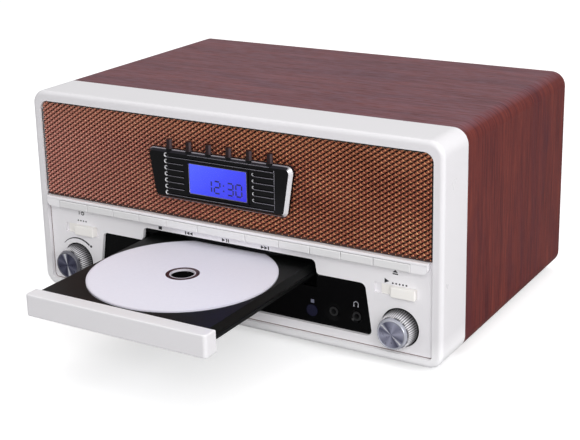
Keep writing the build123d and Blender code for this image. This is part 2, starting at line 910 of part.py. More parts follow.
def control_panel():
    """The white lower panel: window, knob wells, switch slots, and the ledge over the keys."""
    y = (panel_front_y, panel_back_y)
    low = bezel_wall + panel_setback
    panel = block(centred(panel_half), y, (low, panel_top))
    upright = panel.edges().filter_by(Axis.Y).group_by(Axis.Z)[0]
    panel = fillet(upright, corner_radius - bezel_wall - panel_setback)
    ledge = block(centred(ledge_half), (-ledge_proud, panel_front_y), (ledge_bottom, panel_top - slip))
    ledge = fillet(ledge.edges().filter_by(Axis.X).group_by(Axis.Y)[0], ledge_round)
    panel += ledge
    for side in (-1, 1):
        span = sorted((side * (key_edges[5] + key_gap / 2), side * ledge_half))
        end = block(span, (-ledge_proud, panel_front_y), (key_bottom, ledge_bottom))
        outside = end.edges().filter_by(Axis.Y).group_by(Axis.Z)[0].sort_by(Axis.X)[0 if side < 0 else -1]
        panel += fillet(outside, window_hump_round)
        panel -= rod_along_y(side * knob_x, knob_z, knob_well_radius, y)
    panel -= slab(window_outline(), y)
    for x, rest, span in slide_switches:
        pocket_y = (panel_front_y, panel_front_y + switch_slot_depth)
        panel -= block(around(x, switch_slot_length / 2), pocket_y, around(switch_z, switch_slot_height / 2))
        panel -= lever_slot(x + rest, span, y)
    for span in key_spans:
        middle = sum(span) / 2
        hole_z = around(key_stem_z, stem_half_height + slip)
        panel -= block(around(middle, stem_half_width + slip), y, hole_z)
    for x in key_post_x:
        panel += rod_along_y(x, key_post_z, key_post_radius, (panel_back_y, key_board_y))
        screw_end_y = key_board_y + key_board_thickness - screw_length
        pilot_y = (max(screw_end_y - loose, panel_back_y), key_board_y)
        panel -= rod_along_y(x, key_post_z, screw_radius + thread_gap, pilot_y)
    return panel


def key(span):
    """One key: a bar in front, a stem through the panel and a flange that keeps it in."""
    low, high = span[0] + key_gap / 2, span[1] - key_gap / 2
    middle = (low + high) / 2
    bar = block((low, high), (-key_proud, panel_front_y - key_back_gap), (key_bottom, ledge_bottom - key_gap))
    bar = fillet(bar.faces().sort_by(Axis.Y)[0].edges(), key_round)
    height = around(key_stem_z, stem_half_height)
    stem = block(around(middle, stem_half_width), (panel_front_y - key_back_gap, stem_end_y), height)
    flange_y = (panel_back_y + slip, panel_back_y + slip + stem_flange_thickness)
    flange_z = around(key_stem_z, stem_flange_half_height)
    return bar + stem + block(around(middle, stem_flange_half), flange_y, flange_z)


def key_board():
    """The board behind the keys, with one push contact for each."""
    y = (key_board_y, key_board_y + key_board_thickness)
    board = block(centred(key_board_half), y, (key_board_bottom, key_board_top))
    for span in key_spans:
        contact_y = (stem_end_y + key_travel + slip, key_board_y)
        board += block(around(sum(span) / 2, tact_half), contact_y, around(key_stem_z, tact_half))
    for x in key_post_x:
        board -= rod_along_y(x, key_post_z, screw_radius + screw_clear, y)
    return board


# ------------------------------------------------------------------ fascia, jacks and indicator
mouth_half = front_cap_half + mouth_gap
mouth_bottom = front_cap_bottom - mouth_gap


def fascia():
    """The black gloss plate behind the window."""
    y = (panel_back_y, fascia_back_y)
    plate = block(centred(fascia_half), y, (fascia_bottom, fascia_top))
    plate -= block(centred(mouth_half), y, (mouth_bottom, mouth_top))
    for side in (-1, 1):
        plate -= rod_along_y(side * knob_x, knob_z, bushing_radius + slip, y)
    for x, rest, span in slide_switches:
        plate -= lever_slot(x + rest, span, y)
    for x, dish_radius in zip(jack_x, jack_dish_radii):
        plate -= rod_along_y(x, jack_z, jack_barrel_radius + slip, y)
        dish = Pos(x, panel_back_y + jack_dish_depth / 2, jack_z) * Rot(X=90)
        plate -= dish * Cone(jack_barrel_radius + slip, dish_radius, jack_dish_depth)
    plate -= rod_along_y(indicator_x, indicator_z, indicator_radius + slip, y)
    return plate


def audio_jacks():
    """Two panel sockets for a 3.5 mm plug, each behind its hole."""
    group = []
    for x in jack_x:
        body_y = (fascia_back_y, fascia_back_y + jack_body_depth)
        jack = block(around(x, jack_body_width / 2), body_y, around(jack_z, jack_body_height / 2))
        front_y = panel_back_y + jack_dish_depth / 2
        jack += rod_along_y(x, jack_z, jack_barrel_radius, (front_y, fascia_back_y))
        jack -= rod_along_y(x, jack_z, jack_bore_radius, (front_y, front_y + jack_bore_depth))
        group.append(jack)
    return Compound(children=group)


def indicator_lens():
    """A round tinted lens in the fascia."""
    lens = rod_along_y(indicator_x, indicator_z, indicator_radius, (panel_back_y - slip, fascia_back_y))
    flange_y = (fascia_back_y, fascia_back_y + indicator_flange)
    lens += rod_along_y(indicator_x, indicator_z, indicator_radius + indicator_flange, flange_y)
    return lens


# ------------------------------------------------------------------ rotary controls
def knob(x):
    """A tapered chrome knob: knurled side, bright shoulder and a dished face."""
    def ribbed(radius):
        points = []
        for index in range(knob_knurls):
            middle = 360 * index / knob_knurls
            points.append(polar(radius, middle))
            points.append(polar(radius - knob_knurl_depth, middle + 180 / knob_knurls))
        return Polygon(*points, align=None)

    def facing(y):
        return Plane(origin=(x, y, knob_z), x_dir=(1, 0, 0), z_dir=(0, -1, 0))

    share = (knob_back_y - knob_knurl_front_y) / (knob_back_y - knob_front_y)
    front_of_knurl = knob_base_radius + (knob_front_radius - knob_base_radius) * share
    rear_section = facing(knob_back_y) * ribbed(knob_base_radius)
    side = loft([rear_section, facing(knob_knurl_front_y) * ribbed(front_of_knurl)], ruled=True)
    shoulder_radius = front_of_knurl - knob_knurl_depth
    dish_y = knob_front_y + knob_face_dish
    nose = turned([
        (0, knob_knurl_front_y), (shoulder_radius, knob_knurl_front_y),
        (knob_front_radius - knob_knurl_depth, knob_front_y + knob_edge), (knob_face_radius, knob_front_y),
        (knob_face_radius - knob_edge, knob_front_y), (knob_face_radius - 2 * knob_edge, dish_y), (0, dish_y),
    ], x, knob_z)
    whole = side + nose
    whole -= rod_along_y(x, knob_z, knob_cavity_radius, (knob_back_y - knob_cavity_depth, knob_back_y))
    return whole - rod_along_y(x, knob_z, shaft_radius, (shaft_front_y, knob_back_y))


def control_shaft(x):
    """The shaft that joins a knob to its control."""
    return rod_along_y(x, knob_z, shaft_radius, (shaft_front_y, fascia_back_y + shaft_back_depth))


def rotary_body(x):
    """A rotary control's body, bushing and nut, bored for the shaft."""
    body_y = (fascia_back_y, fascia_back_y + rotary_body_depth)
    body = block(around(x, rotary_body_half), body_y, around(knob_z, rotary_body_half))
    body += rod_along_y(x, knob_z, bushing_radius, (bushing_front_y, fascia_back_y))
    nut_y = (panel_back_y - bushing_nut_thickness, panel_back_y)
    body += rod_along_y(x, knob_z, bushing_nut_radius, nut_y)
    bore_y = (bushing_front_y, fascia_back_y + shaft_back_depth + loose)
    return body - rod_along_y(x, knob_z, shaft_radius + running, bore_y)


# ------------------------------------------------------------------ slide switches
def switch_cap(x, rest):
    """A slide switch's cap: a flat plate in the pocket, the block at its right end, and its lever."""
    middle = x + rest
    half_height = switch_slot_height / 2 - slip
    plate_back = panel_front_y + switch_slot_depth - slip
    plate_y = (plate_back - switch_plate_thickness, plate_back)
    right = middle + switch_plate_length / 2
    grip_x = (right - switch_cap_length, right)
    grip = block(grip_x, (switch_cap_front_y, plate_back), around(switch_z, half_height))
    grip = fillet(grip.faces().sort_by(Axis.Y)[0].edges(), ledge_round)
    plate = block(around(middle, switch_plate_length / 2), plate_y, around(switch_z, half_height))
    lever_y = (plate_back, fascia_back_y + switch_lever_reach)
    lever_z = around(switch_z, switch_lever_half_height)
    return grip + plate + block(around(middle, switch_lever_half_length), lever_y, lever_z)


def switch_body(x, rest, span):
    """The fixed half of a slide switch, with the channel that its lever moves in."""
    y = (fascia_back_y, fascia_back_y + switch_body_depth)
    middle = x + rest + sum(span) / 2
    body = block(around(middle, switch_body_length / 2), y, around(switch_z, switch_body_height / 2))
    return body - lever_slot(x + rest, span, (y[0], y[0] + switch_lever_reach + loose))


def control_bodies():
    """The fixed halves of the two rotary controls and the two slide switches."""
    rotary = [rotary_body(-knob_x), rotary_body(knob_x)]
    return Compound(children=rotary + [switch_body(x, rest, span) for x, rest, span in slide_switches])


# ------------------------------------------------------------------ display unit
display_back_y = grille_inset
lens_y = (display_front_y + display_wall - lens_thickness, display_front_y + display_wall)


def display_outline(offset):
    """The display unit's trapezoid, drawn in by an offset."""
    corners = mirrored([
        (display_half_top - offset, display_top - offset),
        (display_half_bottom - offset, display_bottom + offset),
    ])
    radius = max(display_round - offset, ledge_round)
    return rounded_polygon(corners, (radius,) * 4)


def slot_capsules():
    """The decorative slots: full rows above and below the screen, split rows beside it."""
    capsules = []
    for row in range(slot_rows):
        z = slot_top_z - row * slot_pitch
        edge = lcd_half_width + slot_lcd_gap
        full = row in (0, slot_rows - 1)
        spans = [(slot_left, slot_right)] if full else [(slot_left, -edge), (edge, slot_right)]
        for low, high in spans:
            capsules.append(Pos((low + high) / 2, z) * SlotOverall(high - low, slot_height))
    return capsules


def display_housing():
    """The bright trapezoid unit on the grille, with its slots, screen frame, posts and fixing pins."""
    body = slab(display_outline(0), (display_front_y, display_back_y))
    body = chamfer(body.faces().sort_by(Axis.Y)[0].edges(), display_bevel)
    inner_y = display_front_y + display_wall
    body -= slab(display_outline(display_wall + display_bevel), (inner_y, display_back_y))
    for capsule in slot_capsules():
        body -= slab(capsule, (display_front_y, display_front_y + slot_depth))
    frame_z = (lcd_bottom - lcd_frame, lcd_top + lcd_frame)
    frame_y = (display_front_y - lcd_frame_proud, inner_y)
    body += block(centred(lcd_half_width + lcd_frame), frame_y, frame_z)
    clear_z = (lcd_bottom + lens_ledge, lcd_top - lens_ledge)
    body -= block(centred(lcd_half_width - lens_ledge), frame_y, clear_z)
    body -= block(centred(lcd_half_width), (frame_y[0], lens_y[1]), (lcd_bottom, lcd_top))
    for index in range(post_count):
        x = (index - (post_count - 1) / 2) * post_pitch
        root_z = display_top - display_wall
        body += rod_along_z(x, post_y, post_radius, (root_z, display_top + post_height))
        body += rod_along_z(x, post_y, post_collar_radius, (root_z, display_top + post_collar_height))
    for x, z in display_boss_points:
        pin_y = (inner_y, display_back_y + display_boss_length)
        body += rod_along_y(x, z, display_boss_radius, pin_y)
    return body


def display_lens():
    """The clear window over the screen."""
    return block(centred(lcd_half_width - slip), lens_y, (lcd_bottom + slip, lcd_top - slip))


def display_module():
    """The lit screen behind the window."""
    y = (lens_y[1], lens_y[1] + module_thickness)
    half = lcd_half_width + module_margin
    return block(centred(half), y, (lcd_bottom - module_margin, lcd_top + module_margin))


# ------------------------------------------------------------------ drawer and disc
def disc():
    """A 120 mm disc in the drawer's well."""
    z = (well_floor_z, well_floor_z + disc_thickness)
    plate = rod_along_z(0, disc_rest_y, disc_radius, z)
    return plate - rod_along_z(0, disc_rest_y, disc_hole_radius, z)


def tray_carrier():
    """The black drawer: a plate with sloped sides and running flanges, a well, a slot and a rack."""
    inside = tray_half_foot - tray_side_wall
    section = mirrored([
        (tray_half_top, tray_top), (tray_half_foot, tray_shoulder_z), (tray_half_flange, tray_shoulder_z),
        (tray_half_flange, tray_flange_bottom), (inside, tray_flange_bottom),
        (tray_half_top - tray_side_wall, tray_plate_bottom),
    ])
    tray = slab(Polygon(*section, align=None), (cap_rear_y, tray_rear_y))
    well_z = (well_floor_z, tray_top)
    tray -= rod_along_z(0, disc_rest_y, disc_radius + well_gap, well_z)
    small_z = (well_floor_z - small_well_depth, well_floor_z)
    tray -= rod_along_z(0, disc_rest_y, small_well_radius, small_z)
    through = (tray_plate_bottom, tray_top)
    tray -= rod_along_z(0, disc_rest_y, tray_hole_radius, through)
    tray -= block(centred(tray_slot_half), (disc_rest_y, disc_rest_y + tray_slot_length), through)
    plug_half = front_cap_half - front_cap_wall - plug_gap
    plug_z = (front_cap_bottom + front_cap_wall + plug_gap, front_cap_top - front_cap_wall - plug_gap)
    tray += block(centred(plug_half), (cap_rear_y - plug_depth, cap_rear_y), plug_z)
    root_z = (plug_z[0], well_floor_z - small_well_depth)
    tray += block(centred(tray_half_top - tray_side_wall), (cap_rear_y, cap_rear_y + plug_root), root_z)
    tray += rack(
        gear_module, (rack_front_y, rack_rear_y), (rack_bottom, tray_plate_bottom), rack_line_x, 1,
        rack_back - dedendum_share * gear_module, drive_gear_y,
    )
    return tray


def tray_front():
    """The drawer's white front, a hollow cap over the carrier's plug."""
    y = (cap_front_y, cap_rear_y)
    cap = block(centred(front_cap_half), y, (front_cap_bottom, front_cap_top))
    cap = fillet(cap.edges().filter_by(Axis.Z).group_by(Axis.Y)[0], front_cap_round)
    front_edges = cap.faces().sort_by(Axis.Y)[0].edges()
    cap = fillet(front_edges + cap.faces().sort_by(Axis.Z)[-1].edges(), front_cap_edge)
    wall = front_cap_wall
    hollow_y = (cap_front_y + wall, cap_rear_y)
    hollow = block(centred(front_cap_half - wall), hollow_y, (front_cap_bottom + wall, front_cap_top - wall))
    return cap - hollow


# ------------------------------------------------------------------ loader
def loader_chassis():
    """The loader's frame: floor with a window, side walls, drawer rails, posts, pins and legs."""
    y = (chassis_front_y, chassis_rear_y)
    frame = block(centred(chassis_outer), y, chassis_floor_z)
    frame -= block(centred(window_half), (window_front_y, window_rear_y), chassis_floor_z)
    rear_z = (floor_top, chassis_wall_top)
    frame += block(centred(chassis_outer), (window_rear_y, chassis_rear_y), rear_z)
    foot_z = (board_thickness, board_thickness + leg_foot_thickness)
    for side in (-1, 1):
        wall_x = sorted((side * chassis_inner, side * chassis_outer))
        frame += block(wall_x, y, (chassis_wall_bottom, chassis_wall_top))
        rail_x = sorted((side * (chassis_inner - rail_width), side * chassis_inner))
        rail_y = (guide_spans[0][0], window_rear_y)
        frame += block(rail_x, rail_y, (rail_top - rail_thickness, rail_top))
        guide_x = sorted((side * (chassis_inner - guide_width), side * chassis_inner))
        for span in guide_spans:
            frame += block(guide_x, span, (guide_bottom, guide_bottom + guide_thickness))
        leg_x = sorted((side * chassis_outer, side * (chassis_outer + leg_width)))
        foot_x = sorted((side * chassis_outer, side * (chassis_outer + leg_width + leg_foot_width)))
        for start in leg_y:
            span = (start, start + leg_length)
            frame += block(leg_x, span, (board_thickness, chassis_floor_z[1]))
            frame += block(foot_x, span, foot_z)
        for pin_y in guide_pin_y:
            pin_z = (chassis_floor_z[0], guide_pin_top)
            frame += rod_along_z(side * guide_pin_x, pin_y, guide_pin_radius, pin_z)
    for x, y_leg in leg_screw_points:
        frame -= rod_along_z(x, y_leg, screw_radius + screw_clear, foot_z)
    drive_post_z = (floor_top, drive_upper_z[1] + gear_post_rise)
    frame += rod_along_z(drive_gear_x, drive_gear_y, gear_post_radius, drive_post_z)
    pulley_post_z = (floor_top, drive_lower_z[1] + gear_post_rise)
    frame += rod_along_z(belt_pulley_x, drive_gear_y, gear_post_radius, pulley_post_z)
    frame -= rod_along_z(motor_pulley_x, drive_gear_y, shaft_hole_radius, chassis_floor_z)
    front_rib_y = (cam_y[0] - loose - cam_rib_thickness, cam_y[0] - loose)
    rear_rib_y = (cam_y[1] + loose, cam_y[1] + loose + cam_rib_thickness)
    frame += block(centred(cam_rib_half), front_rib_y, (floor_top, floor_top + cam_rib_height))
    frame += block(centred(cam_rib_half), rear_rib_y, (floor_top, floor_top + cam_rib_height / 2))
    return frame


def drive_gear():
    """The compound gear between the belt pulley's pinion and the drawer's rack."""
    upper = gear(drive_teeth_upper, gear_module, drive_upper_z, 180)
    lower = gear(drive_teeth_lower, gear_module, drive_lower_z, 0)
    hub = rod_along_z(0, 0, gear_hub_radius, (floor_top + slip, drive_upper_z[1]))
    bore = rod_along_z(0, 0, gear_post_radius + running, (floor_top, drive_upper_z[1] + gear_post_rise))
    return Pos(drive_gear_x, drive_gear_y, 0) * (upper + lower + hub - bore)


def grooved_pulley(line_radius):
    """A pulley about the Z axis whose groove holds the belt."""
    rim = line_radius + belt_size / 2 + pulley_flange
    floor_radius = line_radius - belt_size / 2 - running
    groove_z = around(sum(pulley_z) / 2, belt_size / 2 + running)
    pulley = rod_along_z(0, 0, rim, pulley_z)
    groove = rod_along_z(0, 0, rim, groove_z) - rod_along_z(0, 0, floor_radius, groove_z)
    return pulley - groove


def belt_pulley():
    """The large pulley with the pinion that drives the compound gear."""
    facing_gear = 180 + 180 / pinion_teeth
    pinion = gear(pinion_teeth, gear_module, (pulley_z[1], drive_lower_z[1]), facing_gear)
    hub = rod_along_z(0, 0, gear_hub_radius, (floor_top + slip, pulley_z[1]))
    bore = rod_along_z(0, 0, gear_post_radius + running, (floor_top, drive_lower_z[1]))
    return Pos(belt_pulley_x, drive_gear_y, 0) * (grooved_pulley(belt_line_large) + pinion + hub - bore)


def motor_pulley():
    """The small pulley on the loading motor's shaft."""
    shaft = rod_along_z(0, 0, motor_shaft_radius, (chassis_floor_z[0] - motor_shaft_depth, pulley_z[0]))
    return Pos(motor_pulley_x, drive_gear_y, 0) * (grooved_pulley(belt_line_small) + shaft)


def drive_belt():
    """The square belt round both pulleys."""
    z = around(sum(pulley_z) / 2, belt_size / 2)

    def loop(offset):
        """The area inside both circles and the two straight runs that touch them."""
        large = belt_line_large + offset
        small = belt_line_small + offset
        apart = motor_pulley_x - belt_pulley_x
        tilt = acos((large - small) / apart)
        large_top = (belt_pulley_x + large * cos(tilt), drive_gear_y + large * sin(tilt))
        small_top = (motor_pulley_x + small * cos(tilt), drive_gear_y + small * sin(tilt))
        large_low = (large_top[0], 2 * drive_gear_y - large_top[1])
        small_low = (small_top[0], 2 * drive_gear_y - small_top[1])
        area = Polygon(large_low, small_low, small_top, large_top, align=None)
        area += Pos(belt_pulley_x, drive_gear_y) * Circle(large)
        area += Pos(motor_pulley_x, drive_gear_y) * Circle(small)
        return area

    ring = loop(belt_size / 2) - loop(-belt_size / 2)
    return raised(ring, z)


def motor(x, y, top):
    """A small can motor, its axis upright, bored for the shaft."""
    body = rod_along_z(x, y, motor_radius, (top - motor_height, top))
    body = fillet(body.edges().group_by(Axis.Z)[0], front_round / 3)
    return body - rod_along_z(x, y, motor_shaft_radius + running, (top - motor_shaft_depth - loose, top))


def clamp_bridge():
    """The bar over the disc that carries the clamp puck."""
    z = (chassis_wall_top, chassis_wall_top + bridge_thickness)
    bar = block(centred(chassis_outer), around(disc_closed_y, bridge_half_length), z)
    bar += rod_along_z(0, disc_closed_y, bridge_hole_radius + 2 * chassis_wall, z)
    return bar - rod_along_z(0, disc_closed_y, bridge_hole_radius, z)


def clamp_puck():
    """The puck that presses the disc onto the turntable."""
    seat = chassis_wall_top + bridge_thickness + slip
    puck = rod_along_z(0, disc_closed_y, puck_radius, (puck_bottom, seat))
    return puck + rod_along_z(0, disc_closed_y, puck_flange_radius, (seat, seat + puck_flange_thickness))


def cam_slide():
    """The sliding plate whose sloped slots lift the traverse by its pins."""
    plate = block(centred(cam_half), cam_y, (floor_top + loose, cam_top))
    for side in (-1, 1):
        middle = (side * cam_pin_x - cam_travel / 2, cam_pin_z + lift / 2)
        run = hypot(cam_travel, lift)
        slope = -degrees(atan2(lift, cam_travel))
        slot = Pos(*middle) * Rot(Z=slope) * SlotCenterToCenter(run, 2 * (cam_pin_radius + cam_pin_gap))
        plate -= slab(slot, cam_y)
    return plate


def traverse():
    """The lifting frame: deck, front wall with its pins, lugs on the guide pins and rod supports."""
    deck = block(centred(traverse_half), (traverse_front_y, traverse_rear_y), traverse_z)
    wall_y = (traverse_front_y, traverse_front_y + traverse_wall)
    deck += block(centred(traverse_front_half), wall_y, (traverse_front_bottom, traverse_front_top))
    lug_z = (floor_top + loose, floor_top + loose + lug_thickness)
    for side in (-1, 1):
        pin_y = (cam_y[0] - loose, traverse_front_y)
        deck += rod_along_y(side * cam_pin_x, cam_pin_z, cam_pin_radius, pin_y)
        for y in guide_pin_y:
            lug_x = sorted((side * traverse_half, side * (traverse_half + lug_reach)))
            deck += block(lug_x, around(y, lug_half), lug_z)
            deck -= rod_along_z(side * guide_pin_x, y, guide_pin_radius + slip, lug_z)
        for start in (rod_y[0], rod_y[1] - rod_block_length):
            support = (start, start + rod_block_length)
            deck += block(around(side * rod_x, rod_block_half), support, (traverse_z[1], rod_block_top))
        deck -= rod_along_y(side * rod_x, rod_z, rod_radius + thread_gap, rod_y)
    deck -= rod_along_z(0, disc_closed_y, shaft_hole_radius, traverse_z)
    deck -= rod_along_z(feed_x, feed_pinion_y, shaft_hole_radius, traverse_z)
    post_z = (traverse_z[1], feed_gear_z[1] + gear_post_rise)
    return deck + rod_along_z(feed_x, feed_y, gear_post_radius, post_z)


def turntable():
    """The platter and centring hub on the spindle motor's shaft."""
    platter_z = (platter_top_down - platter_thickness, platter_top_down)
    table = rod_along_z(0, disc_closed_y, platter_radius, platter_z)
    hub = rod_along_z(0, disc_closed_y, hub_radius, (platter_top_down, platter_top_down + hub_height))
    hub = chamfer(hub.edges().group_by(Axis.Z)[-1], hub_height / 2)
    table += hub
    table += rod_along_z(0, disc_closed_y, stem_radius, (traverse_z[1] + loose, platter_z[0]))
    shaft_z = (traverse_z[0] - motor_shaft_depth, traverse_z[1] + loose)
    return table + rod_along_z(0, disc_closed_y, motor_shaft_radius, shaft_z)


def traverse_motors():
    """The spindle motor and the feed motor under the traverse."""
    return Compound(children=[
        motor(0, disc_closed_y, traverse_z[0]),
        motor(feed_x, feed_pinion_y, traverse_z[0]),
    ])


def guide_rods():
    """The two steel rods that the pickup sled runs on."""
    return Compound(children=[rod_along_y(side * rod_x, rod_z, rod_radius, rod_y) for side in (-1, 1)])


def pickup_sled():
    """The optical pickup on its rods, with its lens and its feed rack."""
    sled = block(centred(sled_half), sled_y, sled_z)
    for side in (-1, 1):
        sled -= rod_along_y(side * rod_x, rod_z, rod_radius + running, sled_y)
    lens_z = (sled_z[1], sled_z[1] + pickup_lens_height)
    sled += rod_along_z(0, pickup_lens_y, pickup_lens_radius, lens_z)
    rack_z = (sled_z[0], sled_z[0] + feed_rack_height)
    back = feed_rack_back - dedendum_share * feed_module
    return sled + rack(feed_module, feed_rack_y, rack_z, feed_line_x, -1, back, feed_y)


def feed_gear():
    """The gear between the feed motor's pinion and the sled's rack."""
    wheel = gear(feed_teeth, feed_module, feed_gear_z, 0)
    hub = rod_along_z(0, 0, gear_hub_radius, (traverse_z[1] + slip, feed_gear_z[0]))
    bore = rod_along_z(0, 0, gear_post_radius + running, (traverse_z[1], feed_gear_z[1]))
    return Pos(feed_x, feed_y, 0) * (wheel + hub - bore)


def feed_pinion():
    """The pinion on the feed motor's shaft."""
    facing_gear = 270 + 180 / feed_pinion_teeth
    pinion = gear(feed_pinion_teeth, feed_module, feed_gear_z, facing_gear)
    shaft = rod_along_z(0, 0, motor_shaft_radius, (traverse_z[0] - motor_shaft_depth, feed_gear_z[0]))
    return Pos(feed_x, feed_pinion_y, 0) * (pinion + shaft)


# ------------------------------------------------------------------ boards and power
def main_board():
    """The amplifier and tuner board on four stand-offs, with its larger components."""
    base = board_thickness + standoff_height
    board = block(main_board_x, main_board_y, (base, base + board_sheet))
    for x, y in standoff_points:
        board += rod_along_z(x, y, standoff_radius, (board_thickness, base))
        board -= rod_along_z(x, y, screw_radius + screw_clear, (board_thickness, base + board_sheet))
    top = base + board_sheet
    for from_left, from_front, radius, height in capacitors:
        x, y = main_board_x[0] + from_left, main_board_y[0] + from_front
        board += rod_along_z(x, y, radius, (top, top + height))
    for from_left, from_front, half_width, half_depth, height in chips:
        x, y = main_board_x[0] + from_left, main_board_y[0] + from_front
        board += block(around(x, half_width), around(y, half_depth), (top, top + height))
    return board


def heat_sink():
    """The finned sink on the main board."""
    base = board_thickness + standoff_height + board_sheet
    top = base + sink_height
    sink = block((sink_x[0], sink_x[0] + sink_base), sink_y, (base, top))
    pitch = (sink_y[1] - sink_y[0] - sink_fin) / (sink_fins - 1)
    for index in range(sink_fins):
        start = sink_y[0] + index * pitch
        sink += block(sink_x, (start, start + sink_fin), (base, top))
    return sink


def transformer():
    """The mains transformer: laminated core, bobbin and the bracket that holds it down."""
    middle_y = sum(transformer_y) / 2
    low = board_thickness + bracket_thickness
    core_y = around(middle_y, core_thickness / 2)
    body = block(transformer_x, core_y, (low, low + core_height))
    bobbin_x = (transformer_x[0] + bobbin_margin, transformer_x[1] - bobbin_margin)
    bobbin_z = (low + bobbin_margin, low + core_height - bobbin_margin)
    body += block(bobbin_x, transformer_y, bobbin_z)
    ears_x = (transformer_x[0] - bracket_ear, transformer_x[1] + bracket_ear)
    body += block(ears_x, core_y, (board_thickness, low))
    for x in bracket_screw_x:
        body -= rod_along_z(x, bracket_screw_y, screw_radius + screw_clear, (board_thickness, low))
    return body


# ------------------------------------------------------------------ write every piece
os.makedirs("parts", exist_ok=True)

save("cabinet_shell", cabinet_shell())
save("front_bezel", front_bezel())
save("rear_panel", rear_panel())
save("feet", feet())
save("mains_inlet", mains_inlet())
save("grille_mesh", grille_mesh())
save("speaker_baffle", speaker_baffle())
save("speaker_frames", Compound(children=[speaker_frame(-speaker_x), speaker_frame(speaker_x)]))
save("speaker_surrounds", Compound(children=[speaker_surround(-speaker_x), speaker_surround(speaker_x)]))
save("speaker_cone_left", speaker_cone(-speaker_x))
save("speaker_cone_right", speaker_cone(speaker_x))
save("control_panel", control_panel())
for key_name, key_span in zip(key_names, key_spans):
    save(key_name, key(key_span))
save("key_board", key_board())
save("fascia", fascia())
save("audio_jacks", audio_jacks())
save("indicator_lens", indicator_lens())
save("volume_knob", knob(-knob_x))
save("tuning_knob", knob(knob_x))
save("volume_shaft", control_shaft(-knob_x))
save("tuning_shaft", control_shaft(knob_x))
save("band_switch_cap", switch_cap(band_switch_x, band_switch_rest))
save("mute_switch_cap", switch_cap(mute_switch_x, mute_switch_rest))
save("control_bodies", control_bodies())
save("display_housing", display_housing())
save("display_lens", display_lens())
save("display_module", display_module())
save("disc", disc())
save("tray_carrier", tray_carrier())
save("tray_front", tray_front())
save("loader_chassis", loader_chassis())
save("drive_gear", drive_gear())
save("belt_pulley", belt_pulley())
save("motor_pulley", motor_pulley())
save("drive_belt", drive_belt())
save("loading_motor", motor(motor_pulley_x, drive_gear_y, chassis_floor_z[0]))
save("clamp_bridge", clamp_bridge())
save("clamp_puck", clamp_puck())
save("cam_slide", cam_slide())
save("traverse", traverse())
save("turntable", turntable())
save("traverse_motors", traverse_motors())
save("guide_rods", guide_rods())
save("pickup_sled", pickup_sled())
save("feed_gear", feed_gear())
save("feed_pinion", feed_pinion())
save("main_board", main_board())
save("heat_sink", heat_sink())
save("transformer", transformer())
save("screws", screws())
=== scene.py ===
# %% [markdown]
# # A table-top stereo music centre
# This lesson dresses a finished CAD model for a picture. The model comes in as a frame that doesn't change:
# every piece made here is placed against it, rides on one of its moving bodies, and is drawn in metres.

# %% Load the frame
import math

import bmesh
import bpy
from mathutils import Matrix, Vector


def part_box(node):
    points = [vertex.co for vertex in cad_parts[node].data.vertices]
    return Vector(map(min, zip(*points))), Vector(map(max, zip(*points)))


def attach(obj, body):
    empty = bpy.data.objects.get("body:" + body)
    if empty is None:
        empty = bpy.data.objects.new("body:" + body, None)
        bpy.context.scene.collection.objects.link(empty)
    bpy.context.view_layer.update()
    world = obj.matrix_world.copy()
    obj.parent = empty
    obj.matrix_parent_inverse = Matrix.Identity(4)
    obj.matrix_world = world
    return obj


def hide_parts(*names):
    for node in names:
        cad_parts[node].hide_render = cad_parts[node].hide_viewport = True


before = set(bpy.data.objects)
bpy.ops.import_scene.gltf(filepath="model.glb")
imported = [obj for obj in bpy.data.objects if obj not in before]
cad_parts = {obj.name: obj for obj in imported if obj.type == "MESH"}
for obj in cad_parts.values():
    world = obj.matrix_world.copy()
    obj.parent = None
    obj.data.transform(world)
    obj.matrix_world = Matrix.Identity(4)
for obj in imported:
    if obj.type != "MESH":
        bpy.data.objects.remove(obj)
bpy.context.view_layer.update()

MM = 0.001
face_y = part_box("front_bezel")[0].y
base_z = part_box("front_bezel")[0].z


def at(x, y, z):
    """A place in millimetres: X to the right, Y behind the frame's face, Z above the cabinet's underside."""
    return Vector((x * MM, face_y + y * MM, base_z + z * MM))


# %% [markdown]
# ## The camera
# A picture can only be compared with a photograph from the same place. The camera's place, aim and lens
# were found by fitting the cabinet's corners and edges to the photograph. It stands up and to the right of
# the cabinet, leans over a little, and its picture is shifted slightly, as a photographer does to keep
# uprights upright.

# %% Set the camera
YAW, PITCH, ROLL = 0.5432, 0.286, -0.0221
forward = Vector((-math.sin(YAW) * math.cos(PITCH), math.cos(YAW) * math.cos(PITCH), -math.sin(PITCH)))
level = Vector((math.cos(YAW), math.sin(YAW), 0))
upward = level.cross(forward)
right = level * math.cos(ROLL) + upward * math.sin(ROLL)
up = upward * math.cos(ROLL) - level * math.sin(ROLL)

camera = bpy.data.objects.new("camera", bpy.data.cameras.new("camera"))
bpy.context.scene.collection.objects.link(camera)
turned = Matrix((right, up, -forward)).transposed().to_4x4()
camera.matrix_world = Matrix.Translation(at(446.277, -652.722, 343.081)) @ turned
focal_pixels, picture_width = 1284.1, 580
camera.data.sensor_width = 36
camera.data.lens = focal_pixels / picture_width * camera.data.sensor_width
camera.data.shift_y = -0.1
camera.data.clip_start, camera.data.clip_end = 0.01, 50
bpy.context.scene.camera = camera
print("camera at", camera.location, "lens", round(camera.data.lens, 1))


# %% [markdown]
# ## Node maths as plain Python
# A material or a Geometry Nodes tree is a graph of small boxes. Written box by box it is hard to read, so
# one class stands for a link and turns Python's operators into Math nodes, and one method makes any other
# node.

# %% A link, and the graph that it runs in
def pick(sockets, key):
    """A socket by its place in the list, its identifier or its name."""
    if isinstance(key, int):
        return sockets[key]
    return next((s for s in sockets if s.identifier == key), None) or sockets[key]


